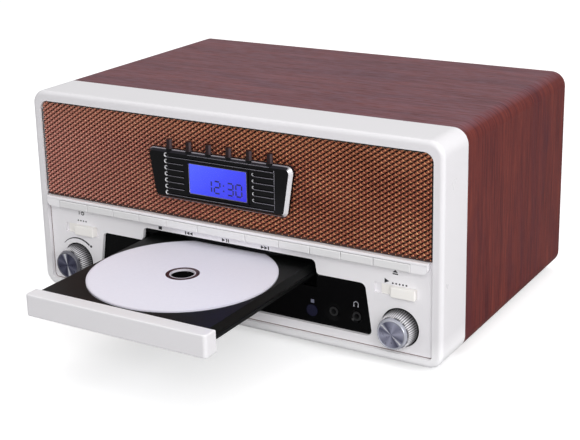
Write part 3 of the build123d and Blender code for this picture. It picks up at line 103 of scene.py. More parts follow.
class Link:
    """What comes out of a node. Its operators are for numbers, and each adds a Math node."""

    def __init__(self, graph, node, output=0):
        self.graph, self.node, self.socket = graph, node, pick(node.outputs, output)

    def out(self, name):
        return Link(self.graph, self.node, name)

    def math(self, operation, *values):
        return self.graph.add("ShaderNodeMath", {"operation": operation}, dict(enumerate(values)))

    def __add__(self, other):
        return self.math("ADD", self, other)

    def __sub__(self, other):
        return self.math("SUBTRACT", self, other)

    def __rsub__(self, other):
        return self.math("SUBTRACT", other, self)

    def __mul__(self, other):
        return self.math("MULTIPLY", self, other)

    def __truediv__(self, other):
        return self.math("DIVIDE", self, other)

    def __gt__(self, other):
        return self.math("GREATER_THAN", self, other)

    __radd__, __rmul__ = __add__, __mul__


class Graph:
    """A node tree with one way to add a node."""

    def __init__(self, tree):
        self.tree = tree

    def add(self, kind, settings=None, values=None, output=0):
        node = self.tree.nodes.new(kind)
        for name, value in (settings or {}).items():
            if name == "stops":
                self.set_stops(node.color_ramp, value)
            else:
                setattr(node, name, value)
        self.feed(node, values or {})
        return Link(self, node, output)

    def feed(self, node, values):
        for key, value in values.items():
            socket = pick(node.inputs, key)
            if isinstance(value, Link):
                self.tree.links.new(value.socket, socket)
            else:
                socket.default_value = value

    @staticmethod
    def set_stops(ramp, stops):
        while len(ramp.elements) < len(stops):
            ramp.elements.new(1.0)
        for element, (place, colour) in zip(ramp.elements, stops):
            element.position, element.color = place, colour


# %% [markdown]
# ## Words for finishes
# Most finishes are the same few moves: a colour, a slow drift of that colour, a fine grain for the light to
# catch, and a roughness that is never quite even. These helpers are those moves. Where a finish below also
# has a gleam or a shade, that is part of its colour, and it stays where it is when the lamps move.

# %% Helpers for finishes
def tone(red, green, blue):
    """A colour in the eight-bit numbers of a screen, made linear as shaders need it."""
    straight = [((c / 255 + 0.055) / 1.055) ** 2.4 if c > 10 else c / 255 / 12.92 for c in (red, green, blue)]
    return (*straight, 1.0)


def place(graph, scale=(1, 1, 1), centre=(0, 0, 0)):
    """The surface's own place in metres, centred and stretched."""
    where = graph.add("ShaderNodeTexCoord", output="Object")
    moved = graph.add("ShaderNodeVectorMath", {"operation": "SUBTRACT"}, {0: where, 1: tuple(centre)})
    return graph.add("ShaderNodeVectorMath", {"operation": "MULTIPLY"}, {0: moved, 1: tuple(scale)})


def place_from(graph, centre):
    """The same place, measured from a centre, with outputs X, Y and Z."""
    return graph.add("ShaderNodeSeparateXYZ", None, {0: place(graph, (1, 1, 1), centre)})


def noise(graph, scale, detail=3.0, roughness=0.5, centre=(0, 0, 0), distortion=0.0):
    values = {"Vector": place(graph, scale, centre), "Scale": 1.0, "Detail": detail, "Roughness": roughness,
              "Distortion": distortion}
    return graph.add("ShaderNodeTexNoise", None, values)


def blend(graph, share, first, second):
    """A colour between two, by a share from 0 to 1."""
    values = {"Factor_Float": share, "A_Color": first, "B_Color": second}
    return graph.add("ShaderNodeMix", {"data_type": "RGBA"}, values, "Result_Color")


def ramp(graph, value, *stops):
    return graph.add("ShaderNodeValToRGB", {"stops": stops}, {"Fac": value})


def step(graph, value, low, high):
    """0 below low, 1 above high, and a straight run between them."""
    values = {"Value": value, "From Min": low, "From Max": high}
    return graph.add("ShaderNodeMapRange", {"clamp": True}, values)


def finish(name, **constants):
    """A new material: its graph and its main shader, with the constants set on the shader's own sockets."""
    material = bpy.data.materials.new(name)
    material.use_nodes = True
    shader = material.node_tree.nodes["Principled BSDF"]
    for key, value in constants.items():
        shader.inputs[key.replace("_", " ")].default_value = value
    return material, Graph(material.node_tree), shader


def bump(graph, shader, height, depth, strength=1.0):
    """Relief: height from 0 to 1, depth in metres."""
    values = {"Height": height, "Distance": depth, "Strength": strength}
    graph.feed(shader, {"Normal": graph.add("ShaderNodeBump", None, values)})


def moulded(name, colour, roughness=0.4, drift=0.06, grain=1800.0, depth=0.00002, spread=0.12, **constants):
    """Moulded plastic, rubber or paint: one colour with a faint drift, an eggshell grain, uneven sheen."""
    material, graph, shader = finish(name, **constants)
    slow = noise(graph, (9, 9, 9), 2)
    deep = tuple(c * (1 - 2 * drift) for c in colour[:3]) + (1.0,)
    fine = noise(graph, (grain, grain, grain), 2)
    graph.feed(shader, {
        "Base Color": blend(graph, slow, deep, colour),
        "Roughness": roughness - spread / 2 + spread * noise(graph, (45, 45, 45), 3),
    })
    bump(graph, shader, fine, depth)
    return material


def metal(name, colour, roughness=0.25, brush=(400, 400, 400), depth=0.00001, spread=0.12, **constants):
    """Bare or plated metal: brushed along the axis whose number is small."""
    material, graph, shader = finish(name, Metallic=1.0, **constants)
    lines = noise(graph, brush, 3)
    smoke = noise(graph, (30, 30, 30), 3)
    dark = tuple(c * 0.82 for c in colour[:3]) + (1.0,)
    graph.feed(shader, {
        "Base Color": blend(graph, smoke, dark, colour),
        "Roughness": roughness - spread / 2 + spread * lines,
    })
    bump(graph, shader, lines, depth)
    return material


print("helpers ready")


# %% [markdown]
# ## Wood film
# The cabinet's boards are wrapped in a printed mahogany film whose grain runs round them: across the top,
# down the sides. Noise squeezed along one axis makes streaks, and because it is stretched alike along X and
# Z, the same noise turns the corner by itself. Three sizes of it are mixed: broad figure, fine lines, and
# short dark pores, and a fourth lays duller, violet patches over them. The top also has a painted mauve
# sheen, which stands for the reflection that a polished film shows where it faces the light, so the painted
# sheen starts where the rounded edge has turned to face up.

# %% Wood film
def wood_film():
    material, graph, shader = finish("wood_film", Specular_IOR_Level=0.1)
    figure = noise(graph, (7, 60, 7), 4, 0.6, distortion=0.5)
    lines = noise(graph, (24, 640, 24), 4, 0.65)
    pores = noise(graph, (110, 1700, 110), 2, 0.5)
    mixed = figure * 0.3 + lines * 0.7
    colour = ramp(graph, mixed, (0.36, tone(76, 28, 30)), (0.47, tone(96, 40, 38)),
                  (0.54, tone(106, 46, 41)), (0.66, tone(126, 58, 48)))
    dark = step(graph, pores, 0.52, 0.7) * 0.4
    patches = step(graph, noise(graph, (9, 34, 9), 3, 0.55, distortion=0.8), 0.52, 0.7) * 0.45
    streaked = blend(graph, dark, blend(graph, patches, colour, tone(76, 34, 44)), tone(58, 20, 28))
    up = place_from(graph, at(0, 0, 134)).out("Z")
    upward_side = step(graph, up, 0.0062, 0.0099)
    # Painted sheen: a mauve reflection laid over the top of the film, where it faces up.
    painted_sheen = upward_side * step(graph, lines * 0.4 + pores * 0.6, 0.36, 0.6) * 0.34
    graph.feed(shader, {
        "Base Color": blend(graph, painted_sheen, streaked, tone(152, 130, 148)),
        "Roughness": 0.4 + 0.14 * lines,
    })
    bump(graph, shader, lines * 0.6 + pores * 0.4, 0.00006)
    return material


finishes = {"wood_film": wood_film()}
print("made", list(finishes))


# %% [markdown]
# ## White and cream mouldings
# The front frame, the panel, the keys and the drawer front are glossy white plastic, a cool white against
# the creamier slide switches, which are another batch. A moulding is never flat: it has a slight orange-
# peel skin. The frame has a finish of its own: a white floor would light its foot from below, but this
# scene's floor is grey to the light that bounces off it, so the foot is painted a shade paler.

# %% White and cream mouldings
WHITE_SKIN = {"grain": 900.0, "depth": 0.000012}


def frame_plastic():
    """The front frame's white, painted a shade paler along its foot as light from the floor."""
    material, graph, shader = finish("frame_plastic")
    foot = 1 - step(graph, place_from(graph, at(0, 0, 0)).out("Z"), 0.006, 0.02)
    graph.feed(shader, {
        "Base Color": blend(graph, foot, tone(231, 229, 232), tone(254, 253, 255)),
        "Roughness": 0.24 + 0.12 * noise(graph, (45, 45, 45), 3),
    })
    grain = WHITE_SKIN["grain"]
    bump(graph, shader, noise(graph, (grain, grain, grain), 2), WHITE_SKIN["depth"])
    return material


finishes["frame_plastic"] = frame_plastic()
# The panel's white is painted paler than the frame's, as light for the recessed panel, which the lamps reach
# less.
for name, colour, roughness, drift in (
    ("white_plastic", tone(232, 230, 233), 0.3, 0.012), ("panel_plastic", tone(246, 244, 247), 0.3, 0.012),
    ("cream_plastic", tone(253, 250, 246), 0.34, 0.01), ("key_plastic", tone(233, 232, 233), 0.32, 0.012),
):
    finishes[name] = moulded(name, colour, roughness, drift, **WHITE_SKIN)
print("finishes so far:", len(finishes))


# %% [markdown]
# ## Black and dull mouldings
# Three blacks lie side by side: the gloss fascia behind the window, the satin drawer, and the matt parts
# inside. Only their sheen tells them apart, so the colour stays near black and the roughness does the work.
# The grey and bone-coloured plastics of the mechanism, the rubber and the painted board are made in the
# same way.

# %% Black mouldings
finishes["fascia_gloss"] = moulded("fascia_gloss", tone(4, 4, 5), 0.12, 0.05, 300.0, 0.000006, 0.05,
                                   Specular_IOR_Level=0.1)
finishes["black_satin"] = moulded("black_satin", tone(13, 14, 14), 0.4, 0.08, 2600.0, 0.00002,
                                  Specular_IOR_Level=0.12)
for name, colour, roughness, drift, grain, depth in (
    ("black_matt", tone(24, 24, 26), 0.6, 0.1, 1400.0, 0.00004),
    ("grey_plastic", tone(92, 94, 98), 0.5, 0.06, 1400.0, 0.00003),
    ("gear_plastic", tone(224, 218, 200), 0.38, 0.05, 1100.0, 0.00002),
    ("rubber", tone(26, 26, 27), 0.78, 0.15, 3200.0, 0.00006),
    ("surround_rubber", tone(20, 20, 21), 0.55, 0.12, 2000.0, 0.00004),
    ("baffle_board", tone(22, 15, 14), 0.8, 0.3, 1600.0, 0.0001),
):
    finishes[name] = moulded(name, colour, roughness, drift, grain, depth)
print("finishes so far:", len(finishes))


# %% [markdown]
# ## Metals
# Plain steel in the mechanism, extruded aluminium and the transformer's stacked iron, all of them inside.
# Metals take their colour from what they reflect, so each only needs a tint, a roughness and the marks of
# how it was made.

# %% Metals
finishes["steel"] = metal("steel", tone(176, 178, 182), 0.3, (900, 60, 900))
finishes["aluminium"] = metal("aluminium", tone(188, 190, 194), 0.38, (1200, 40, 1200))
finishes["core_iron"] = metal("core_iron", tone(96, 98, 102), 0.45, (60, 1500, 60), 0.0001)
print("finishes so far:", len(finishes))


# %% [markdown]
# ## Paper cone and circuit board
# The cones are pressed paper with fibres, and the boards are green lacquer over copper tracks. They sit
# behind the grille and inside the cabinet, but an opened cabinet should still look right.

# %% Paper cone and circuit board
def cone_paper():
    material, graph, shader = finish("cone_paper", Roughness=0.85)
    fibre = noise(graph, (900, 300, 900), 4, 0.7, distortion=1.5)
    graph.feed(shader, {"Base Color": ramp(graph, fibre, (0.3, tone(22, 21, 20)), (0.7, tone(52, 49, 46)))})
    bump(graph, shader, fibre, 0.0001)
    return material


def board_green():
    material, graph, shader = finish("board_green", Roughness=0.35)
    spots = graph.add("ShaderNodeTexVoronoi", {"feature": "DISTANCE_TO_EDGE"},
                      {"Vector": place(graph, (260, 260, 260)), "Scale": 1.0})
    tracks = 1 - step(graph, spots, 0.05, 0.1)
    graph.feed(shader, {"Base Color": blend(graph, tracks * 0.7, tone(24, 82, 46), tone(58, 122, 66))})
    bump(graph, shader, tracks, 0.00003)
    return material


finishes["cone_paper"] = cone_paper()
finishes["board_green"] = board_green()
print("finishes so far:", len(finishes))


# %% [markdown]
# ## The disc
# A recordable disc with a white printed face. Rings round its hole show the bare plastic and then the
# mirror layer, and the print ends just short of the outer edge, so the colour is worked out from the
# distance to the disc's axis.

# %% The disc
disc_low, disc_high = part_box("disc")
disc_middle = (disc_low + disc_high) / 2


def ring_distance(graph, centre):
    """The distance from an upright line through centre, in metres."""
    flat = place(graph, (1, 1, 0), centre)
    return graph.add("ShaderNodeVectorMath", {"operation": "LENGTH"}, {0: flat}, "Value")


def disc_print():
    material, graph, shader = finish("disc_print")
    distance = ring_distance(graph, disc_middle)
    speckle = noise(graph, (500, 500, 500), 3)
    paper = blend(graph, speckle, tone(231, 229, 241), tone(237, 235, 246))
    past_hub = step(graph, distance, 0.0083, 0.0085)
    on_print = step(graph, distance, 0.0106, 0.0110)
    rim = step(graph, distance, 0.0588, 0.0590)
    inner = blend(graph, past_hub, tone(198, 194, 202), tone(78, 48, 62))
    printed = blend(graph, on_print, inner, paper)
    graph.feed(shader, {
        "Base Color": blend(graph, rim, printed, tone(228, 226, 238)),
        "Metallic": (1 - on_print) * past_hub * 0.8 + rim * 0.1,
        "Roughness": 0.2 + 0.28 * on_print - 0.2 * rim,
    })
    bump(graph, shader, speckle, 0.000008)
    return material


finishes["disc_print"] = disc_print()
print("disc middle", tuple(round(v, 4) for v in disc_middle))


# %% [markdown]
# ## The display's finishes
# The unit is a smoke-plated moulding. Its face is nearly black, with a painted dull violet sheen on its top
# edge, and its little posts are a smoky brown, a painted reflection of the grille, with a painted glint on
# their right sides. A painted pale highlight runs along the back of its bevel, above and below, and the end
# that faces the light has a painted bright highlight. One material does it all by asking where a point lies
# and which way its surface looks. The screen behind the window glows by itself.

# %% Display finishes
def display_plate():
    material, graph, shader = finish("display_plate", Specular_IOR_Level=0.2)
    facing = graph.add("ShaderNodeSeparateXYZ", None, {0: graph.add("ShaderNodeTexCoord", output="Normal")})
    right_end = place_from(graph, at(46, 0, 0)).out("X") > 0.0
    front = 1 - (place_from(graph, at(0, -1.6, 0)).out("Y") > 0.0)
    post = place_from(graph, at(0, 0, 117)).out("Z") > 0.0
    bevel_back = step(graph, place_from(graph, at(0, -2.65, 0)).out("Y"), 0.0, 0.0002)
    # Painted sheen: faces that look upwards get a dull violet tone, as light from above.
    painted_top_sheen = step(graph, facing.out("Z"), 0.2, 0.5)
    sloped = step(graph, facing.math("ABSOLUTE", facing.out("Z")), 0.4, 0.6)
    # Painted highlight: a pale line along the back of the bevel, above and below.
    painted_bevel_highlight = sloped * step(graph, facing.out("Y") * -1, 0.4, 0.6) * bevel_back
    # Painted reflection and glint: the posts' brown stands for the grille that they mirror, with a glint on
    # their right sides.
    glint = step(graph, facing.out("X"), 0.5, 0.8) * post * 0.45
    # Painted highlight: the right end, which faces the light, is near white and partly metallic.
    bright = step(graph, facing.out("X"), 0.25, 0.5) * right_end * front
    colour = blend(graph, painted_top_sheen, tone(8, 8, 10), tone(30, 28, 35))
    for share, over in ((post * 0.7, tone(46, 31, 33)), (glint, tone(112, 98, 104)),
                        (painted_bevel_highlight * 0.85, tone(156, 152, 160)), (bright, tone(240, 240, 244))):
        colour = blend(graph, share, colour, over)
    smoke = noise(graph, (60, 60, 60), 3)
    graph.feed(shader, {"Base Color": colour, "Metallic": bright * 0.4, "Roughness": 0.12 + 0.1 * smoke})
    return material


def lit_screen():
    """Blue backlight, brighter towards the lamp at its upper left."""
    material, graph, shader = finish("lit_screen", Roughness=0.4, Emission_Strength=1.0)
    low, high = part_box("display_module")
    spot = place_from(graph, low)
    share = spot.out("X") / (high.x - low.x) * 0.6 + (1 - spot.out("Z") / (high.z - low.z)) * 0.4
    glow = ramp(graph, share + 0.1 * noise(graph, (60, 60, 60), 2), (0.0, tone(96, 112, 255)),
                (0.55, tone(76, 84, 244)), (1.0, tone(70, 66, 226)))
    graph.feed(shader, {"Base Color": tone(20, 20, 60), "Emission Color": glow})
    return material


finishes["display_plate"] = display_plate()
finishes["lit_screen"] = lit_screen()
finishes["dim_gleam"] = metal("dim_gleam", tone(166, 164, 172), 0.25, (500, 500, 500), 0.000004, 0.08)
finishes["bright_gleam"] = metal("bright_gleam", tone(252, 252, 254), 0.4, (500, 500, 500), 0.000004, 0.08)
print("finishes so far:", len(finishes))


# %% [markdown]
# ## The knobs' finishes
# Each knob is chromed plastic: a knurled side, a smooth shoulder and a face that was turned on a lathe.
# Chrome in a white room shows black and white side by side, which a plain mirror material only gets from a
# real room. So the grooves get painted dark reflections here, fading towards the panel as painted shade,
# where less light comes, and the neck under the shoulder has broken patches of painted dark reflection. The
# faces get painted wedges of light. The left knob stands in the shade of the drawer, so its tones are
# painted darker.

# %% Knob finishes
knob_x, knob_z = 126.6, 22


def spin(graph, x, aim=0.0):
    """How far round a knob's axis a point lies, as a share of a turn, with aim added."""
    spot = place_from(graph, at(x, 0, knob_z))
    turn = spot.math("ARCTAN2", spot.out("Z"), spot.out("X")) / (2 * math.pi) + aim
    return turn, spot


def knurled(name, x, shoulder, ridges=48):
    """Painted reflections: bright ridges and dark grooves that run back from a plain shoulder."""
    material, graph, shader = finish(name, Metallic=0.4)
    turn, spot = spin(graph, x)
    out = spot.out("Y") * -1
    ridge = step(graph, turn.math("COSINE", turn * (ridges * 2 * math.pi)), -0.5, 0.5)
    # Painted shade: the ridges and grooves grow darker towards the panel.
    root = step(graph, out, -0.0005, 0.0045)
    # Painted reflection: broken dark patches on the neck under the shoulder.
    neck = step(graph, out, 0.0058, 0.0070)
    collar = step(graph, out, 0.0072, 0.0078)
    patchy = noise(graph, (160, 60, 160), 3)
    light = (ridge * 0.75 + 0.25) * (0.15 + 0.85 * root) * (1 - neck * step(graph, patchy, 0.42, 0.55))
    side = blend(graph, light, tone(22, 21, 24), tone(250, 249, 253))
    graph.feed(shader, {
        "Base Color": blend(graph, collar, side, shoulder),
        "Roughness": 0.2 + 0.1 * patchy,
    })
    return material


def wedged(name, x, aim, sectors):
    """A lathe-turned face with painted reflections: two opposed wedges of light with duller sectors between.
    """
    material, graph, shader = finish(name, Metallic=0.6)
    turn = spin(graph, x, aim)[0]
    half = turn.math("FRACT", turn * 2)
    fan = noise(graph, (500, 500, 500), 2)
    stops = [(share, tone(grey, grey + 1, min(grey + 22, 255))) for share, grey in sectors]
    shade = ramp(graph, half + (fan - 0.5) * 0.04, *stops)
    graph.feed(shader, {"Base Color": shade, "Roughness": 0.24 + 0.1 * fan})
    return material


# The volume knob's sectors and shoulder are painted darker than the tuning knob's, as shade from the drawer.
dim_sectors = ((0.0, 56), (0.16, 84), (0.30, 60), (0.40, 44), (0.445, 130), (0.5, 252), (0.56, 140),
               (0.62, 62), (0.80, 104), (0.92, 70), (1.0, 56))
pale_sectors = ((0.0, 140), (0.14, 176), (0.28, 136), (0.41, 84), (0.465, 160), (0.5, 252), (0.535, 160),
                (0.60, 100), (0.80, 182), (0.92, 146), (1.0, 140))
finishes["volume_knurl"] = knurled("volume_knurl", -knob_x, tone(116, 116, 125))
finishes["tuning_knurl"] = knurled("tuning_knurl", knob_x, tone(186, 188, 199))
finishes["volume_spun"] = wedged("volume_spun", -knob_x, 0.464, dim_sectors)
finishes["tuning_spun"] = wedged("tuning_spun", knob_x, 0.361, pale_sectors)
print("finishes so far:", len(finishes))


# %% [markdown]
# ## Lenses and inks
# A clear window, a blue lens, and inks for what is printed: dark on the white panel, pale on the black
# plate, and a deep blue for the screen's segments. Printed ink is matt and very thin, so it needs no more
# than a colour and a faint grain.

# %% Lenses and inks
finishes["lens_clear"] = moulded("lens_clear", tone(245, 246, 255), 0.05, 0.0, 500.0, 0.000002, 0.02,
                                 Transmission_Weight=1.0, IOR=1.3)
finishes["blue_lens"] = moulded("blue_lens", tone(9, 9, 42), 0.12, 0.05, 500.0, 0.000005, 0.05)
# The seam colour is not ink: it is a painted shadow for the gap round the panel.
for name, colour, roughness, drift, grain in (
    ("printed_ink", tone(26, 26, 34), 0.6, 0.1, 2500.0), ("pale_ink", tone(196, 198, 206), 0.5, 0.05, 2500.0),
    ("dim_ink", tone(118, 120, 140), 0.5, 0.05, 2500.0), ("screen_ink", tone(14, 12, 78), 0.5, 0.05, 2500.0),
    ("seam_shadow", tone(112, 78, 74), 0.7, 0.1, 1500.0), ("grille_hem", tone(70, 42, 38), 0.5, 0.1, 1500.0),
):
    finishes[name] = moulded(name, colour, roughness, drift, grain, 0.00001)
print("made", len(finishes), "finishes")


# %% [markdown]
# ## Painting the CAD nodes
# A node whose shape is right keeps its mesh and only gets a finish.

# %% Paint the CAD nodes
painted = {
    "wood_film": ["cabinet_shell"],
    "frame_plastic": ["front_bezel"],
    "white_plastic": ["tray_front"],
    "panel_plastic": ["control_panel"],
    "key_plastic": [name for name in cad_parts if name.startswith("key_") and name != "key_board"],
    "cream_plastic": ["band_switch_cap", "mute_switch_cap"],
    "fascia_gloss": ["fascia"],
    "black_satin": ["tray_carrier"],
    "black_matt": ["loader_chassis", "rear_panel", "mains_inlet", "clamp_bridge", "audio_jacks",
                   "speaker_frames"],
    "grey_plastic": ["control_bodies", "traverse", "turntable", "pickup_sled", "cam_slide"],
    "gear_plastic": ["drive_gear", "belt_pulley", "motor_pulley", "feed_gear", "feed_pinion", "clamp_puck"],
    "rubber": ["feet", "drive_belt"],
    "surround_rubber": ["speaker_surrounds"],
    "baffle_board": ["speaker_baffle", "grille_mesh"],
    "volume_knurl": ["volume_knob"],
    "tuning_knurl": ["tuning_knob"],
    "steel": ["volume_shaft", "tuning_shaft", "guide_rods", "screws", "loading_motor", "traverse_motors"],
    "aluminium": ["heat_sink"],
    "core_iron": ["transformer"],
    "cone_paper": ["speaker_cone_left", "speaker_cone_right"],
    "board_green": ["main_board", "key_board"],
    "disc_print": ["disc"],
    "display_plate": ["display_housing"],
    "lit_screen": ["display_module"],
    "lens_clear": ["display_lens"],
    "blue_lens": ["indicator_lens"],
}


def paint(material, names):
    for name in names:
        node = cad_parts[name]
        if not node.material_slots:
            node.data.materials.append(material)
        for holder in node.material_slots:
            holder.material = material


for finish_name, names in painted.items():
    paint(finishes[finish_name], names)
bare = set(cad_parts) - {name for names in painted.values() for name in names}
print("nodes without a finish:", sorted(bare))


# %% [markdown]
# ## Making a piece
# Pieces are meshes that lie where they belong, on objects at the origin. One helper makes the object, gives
# it its finish and puts it on the body that it moves with.

# %% Helper for pieces
def piece(name, mesh, body, finish_name=None):
    """Puts a mesh on a body. A mesh from a Geometry Nodes tree already has its finish."""
    made = bpy.data.objects.new(name, mesh)
    bpy.context.scene.collection.objects.link(made)
    if finish_name:
        mesh.materials.append(finishes[finish_name])
    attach(made, body)
    print(name, len(mesh.polygons), "faces")
    return made


def mesh_of(name, points, faces, smooth=False):
    mesh = bpy.data.meshes.new(name)
    mesh.from_pydata(points, [], faces)
    mesh.polygons.foreach_set("use_smooth", [smooth] * len(faces))
    mesh.update()
    return mesh


# %% [markdown]
# ## The woven grille
# The grille is a cloth of copper-coloured wires, two families that cross like a diamond lattice and pass
# over and under each other. It could be a picture on a flat sheet, but then it would have no gaps and no
# thickness. Geometry Nodes suit it: every wire is a row of points, two for each crossing, and one rule
# gives each point its place and its height. Both families use the same nodes, mirrored. A last rule trims
# the wires at the frame.

# %% The woven grille: tree
def new_tree(name, inputs):
    """An empty Geometry Nodes tree with named inputs, and links to them."""
    tree = bpy.data.node_groups.new(name, "GeometryNodeTree")
    tree.interface.new_socket(name="Geometry", in_out="OUTPUT", socket_type="NodeSocketGeometry")
    for label, kind in inputs:
        tree.interface.new_socket(name=label, in_out="INPUT", socket_type=kind)
    graph = Graph(tree)
    entry = graph.add("NodeGroupInput")
    return graph, {label: entry.out(label) for label, kind in inputs}


def close_tree(graph, geometry, material):
    """Ends a tree as an export needs it: no instances, one material."""
    solid = graph.add("GeometryNodeRealizeInstances", None, {"Geometry": geometry})
    smooth = graph.add("GeometryNodeSetShadeSmooth", None, {"Geometry": solid})
    dressed = graph.add("GeometryNodeSetMaterial", None, {"Geometry": smooth, "Material": material})
    graph.feed(graph.tree.nodes.new("NodeGroupOutput"), {"Geometry": dressed})


def grow(name, graph, sizes):
    """Runs a tree once with these sizes and keeps the result as a plain mesh."""
    carrier = bpy.data.objects.new(name + "_source", bpy.data.meshes.new(name))
    bpy.context.scene.collection.objects.link(carrier)
    modifier = carrier.modifiers.new(name, "NODES")
    modifier.node_group = graph.tree
    for item in graph.tree.interface.items_tree:
        if item.in_out == "INPUT":
            modifier[item.identifier] = sizes[item.name]
    view = bpy.context.evaluated_depsgraph_get()
    mesh = bpy.data.meshes.new_from_object(carrier.evaluated_get(view))
    bpy.data.objects.remove(carrier)
    return mesh


def weave_tree(material, side):
    """One family of wires: side is 1 for those that climb to the right, -1 for those that fall."""
    graph, size = new_tree("woven_grille", [
        ("Half width", "NodeSocketFloat"), ("Half height", "NodeSocketFloat"), ("Pitch", "NodeSocketFloat"),
        ("Angle", "NodeSocketFloat"), ("Wire radius", "NodeSocketFloat"), ("Rise", "NodeSocketFloat"),
        ("Waves", "NodeSocketFloat"), ("Wires", "NodeSocketInt"), ("Middle", "NodeSocketVector"),
    ])
    lean = graph.add("ShaderNodeMath", {"operation": "SINE"}, {0: size["Angle"]})
    run = graph.add("ShaderNodeMath", {"operation": "COSINE"}, {0: size["Angle"]})
    stride = size["Pitch"] / (lean * run * 4)
    ring = graph.add("GeometryNodeCurvePrimitiveCircle", None,
                     {"Resolution": 6, "Radius": size["Wire radius"]})
    one_wire = graph.add("GeometryNodeMeshLine", None, {"Count": size["Wires"] * 2, "Offset": (1, 0, 0)})
    starts = graph.add("GeometryNodeMeshLine", None, {"Count": size["Wires"], "Offset": (0, 1, 0)})
    rows = graph.add("GeometryNodeInstanceOnPoints", None, {"Points": starts, "Instance": one_wire})
    points = graph.add("GeometryNodeRealizeInstances", None, {"Geometry": rows})
    index = graph.add("ShaderNodeSeparateXYZ", None, {0: graph.add("GeometryNodeInputPosition")})
    own = (index.out("Y") - size["Wires"] / 2) * size["Pitch"]
    across = (index.out("X") - size["Wires"]) * size["Pitch"] / 2
    phase = (own + across) / size["Pitch"] * size["Waves"] * math.pi
    height = phase.math("COSINE", phase)
    spot = graph.add("ShaderNodeCombineXYZ", None, {
        "X": (across - own) / (lean * 2 * side),
        "Y": height * size["Rise"] * -1,
        "Z": (across + own) / (run * 2),
    })
    laid = graph.add("GeometryNodeSetPosition", None, {"Geometry": points, "Position": spot})
    here = graph.add("ShaderNodeSeparateXYZ", None, {0: graph.add("GeometryNodeInputPosition")})
    x, z = here.out("X"), here.out("Z")
    past_x = (x.math("ABSOLUTE", x) - size["Half width"]) / run
    past_z = (z.math("ABSOLUTE", z) - size["Half height"]) / lean
    past = past_x.math("MAXIMUM", past_x, past_z)
    kept = graph.add("GeometryNodeDeleteGeometry", None, {"Geometry": laid, "Selection": past > stride})
    sideways = past_x > past_z
    sign = x.math("SIGN", x) * sideways + z.math("SIGN", z) * side * (1 - sideways)
    pull = past.math("MAXIMUM", past, 0.0) * sign * -1
    shift = graph.add("ShaderNodeCombineXYZ", None, {"X": pull * run, "Y": 0.0, "Z": pull * lean * side})
    cut = graph.add("GeometryNodeSetPosition", None, {"Geometry": kept, "Offset": shift})
    line = graph.add("GeometryNodeMeshToCurve", None, {"Mesh": cut})
    tube = graph.add("GeometryNodeCurveToMesh", None,
                     {"Curve": line, "Profile Curve": ring, "Fill Caps": True})
    placed = graph.add("GeometryNodeTransform", None, {"Geometry": tube, "Translation": size["Middle"]})
    close_tree(graph, placed, material)
    return graph


# %% [markdown]
# The two families are not alike. The wires that climb to the right are broad and reddish, and the ones that
# fall to the right are thin and pale: they rise over each broad wire and dive into the dark gap before the
# next one. Wire finishes get painted shade with depth, and the broad wires have a painted shadow line beside
# each crossing, which is what makes the diamonds readable from a distance. The colour also has painted
# light in it: pinker and duller at the left, and a painted golden highlight along the top, where the light
# grazes it.

# %% The woven grille: finishes and meshes
grille_low, grille_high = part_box("grille_mesh")
grille_middle = (grille_low + grille_high) / 2
diamond_width, diamond_height = 4.7 * MM, 3.15 * MM
angle = math.atan2(diamond_height, diamond_width)
pitch = diamond_width * math.sin(angle)


def copper_wire(name, dark, middle, bright, painted_left_tone, crossing_shadow):
    """Lacquered copper wire: three shades, a painted left tone, and how dark the crossing shadows are."""
    material, graph, shader = finish(name, Metallic=0.4, Specular_IOR_Level=0.3)
    drift = noise(graph, (25, 25, 40), 3)
    scratch = noise(graph, (900, 900, 900), 3)
    colour = ramp(graph, drift * 0.6 + scratch * 0.4, (0.3, dark), (0.5, middle), (0.7, bright))
    spot = place_from(graph, grille_middle)
    # Painted light: the left part gets a paler, pinker tone, and the top a golden highlight.
    left = 1 - step(graph, spot.out("X"), -0.14, 0.02)
    top = step(graph, spot.out("Z"), 0.012, 0.034) * 0.3
    lit = blend(graph, top, blend(graph, left * 0.8, colour, painted_left_tone), tone(206, 142, 100))
    # Painted shade: deeper parts of the wires are darkened.
    deep = step(graph, spot.out("Y"), -0.0004, 0.0003)
    # Painted shadow: a dark line beside each crossing on the broad wires.
    turns = (spot.out("X") * math.sin(angle) + spot.out("Z") * math.cos(angle)) / pitch
    beside = turns.math("FRACT", turns - 0.3 + 0.5) - 0.5
    line = (1 - step(graph, beside.math("ABSOLUTE", beside), 0.07, 0.16)) * crossing_shadow
    shade = deep.math("MAXIMUM", deep * (0.9 - 0.4 * left), line * (0.9 - 0.15 * left))
    graph.feed(shader, {
        "Base Color": blend(graph, shade, lit, tone(40, 18, 16)),
        "Roughness": 0.34 + 0.2 * scratch,
    })
    return material


finishes["broad_wire"] = copper_wire(
    "broad_wire", tone(136, 68, 54), tone(166, 90, 72), tone(190, 112, 88), tone(214, 138, 126), 0.8)
finishes["fine_wire"] = copper_wire(
    "fine_wire", tone(196, 126, 90), tone(230, 162, 118), tone(246, 196, 146), tone(246, 192, 176), 0.0)
print("wires", round(pitch / MM, 2), "mm apart, at", round(math.degrees(angle), 1), "degrees")


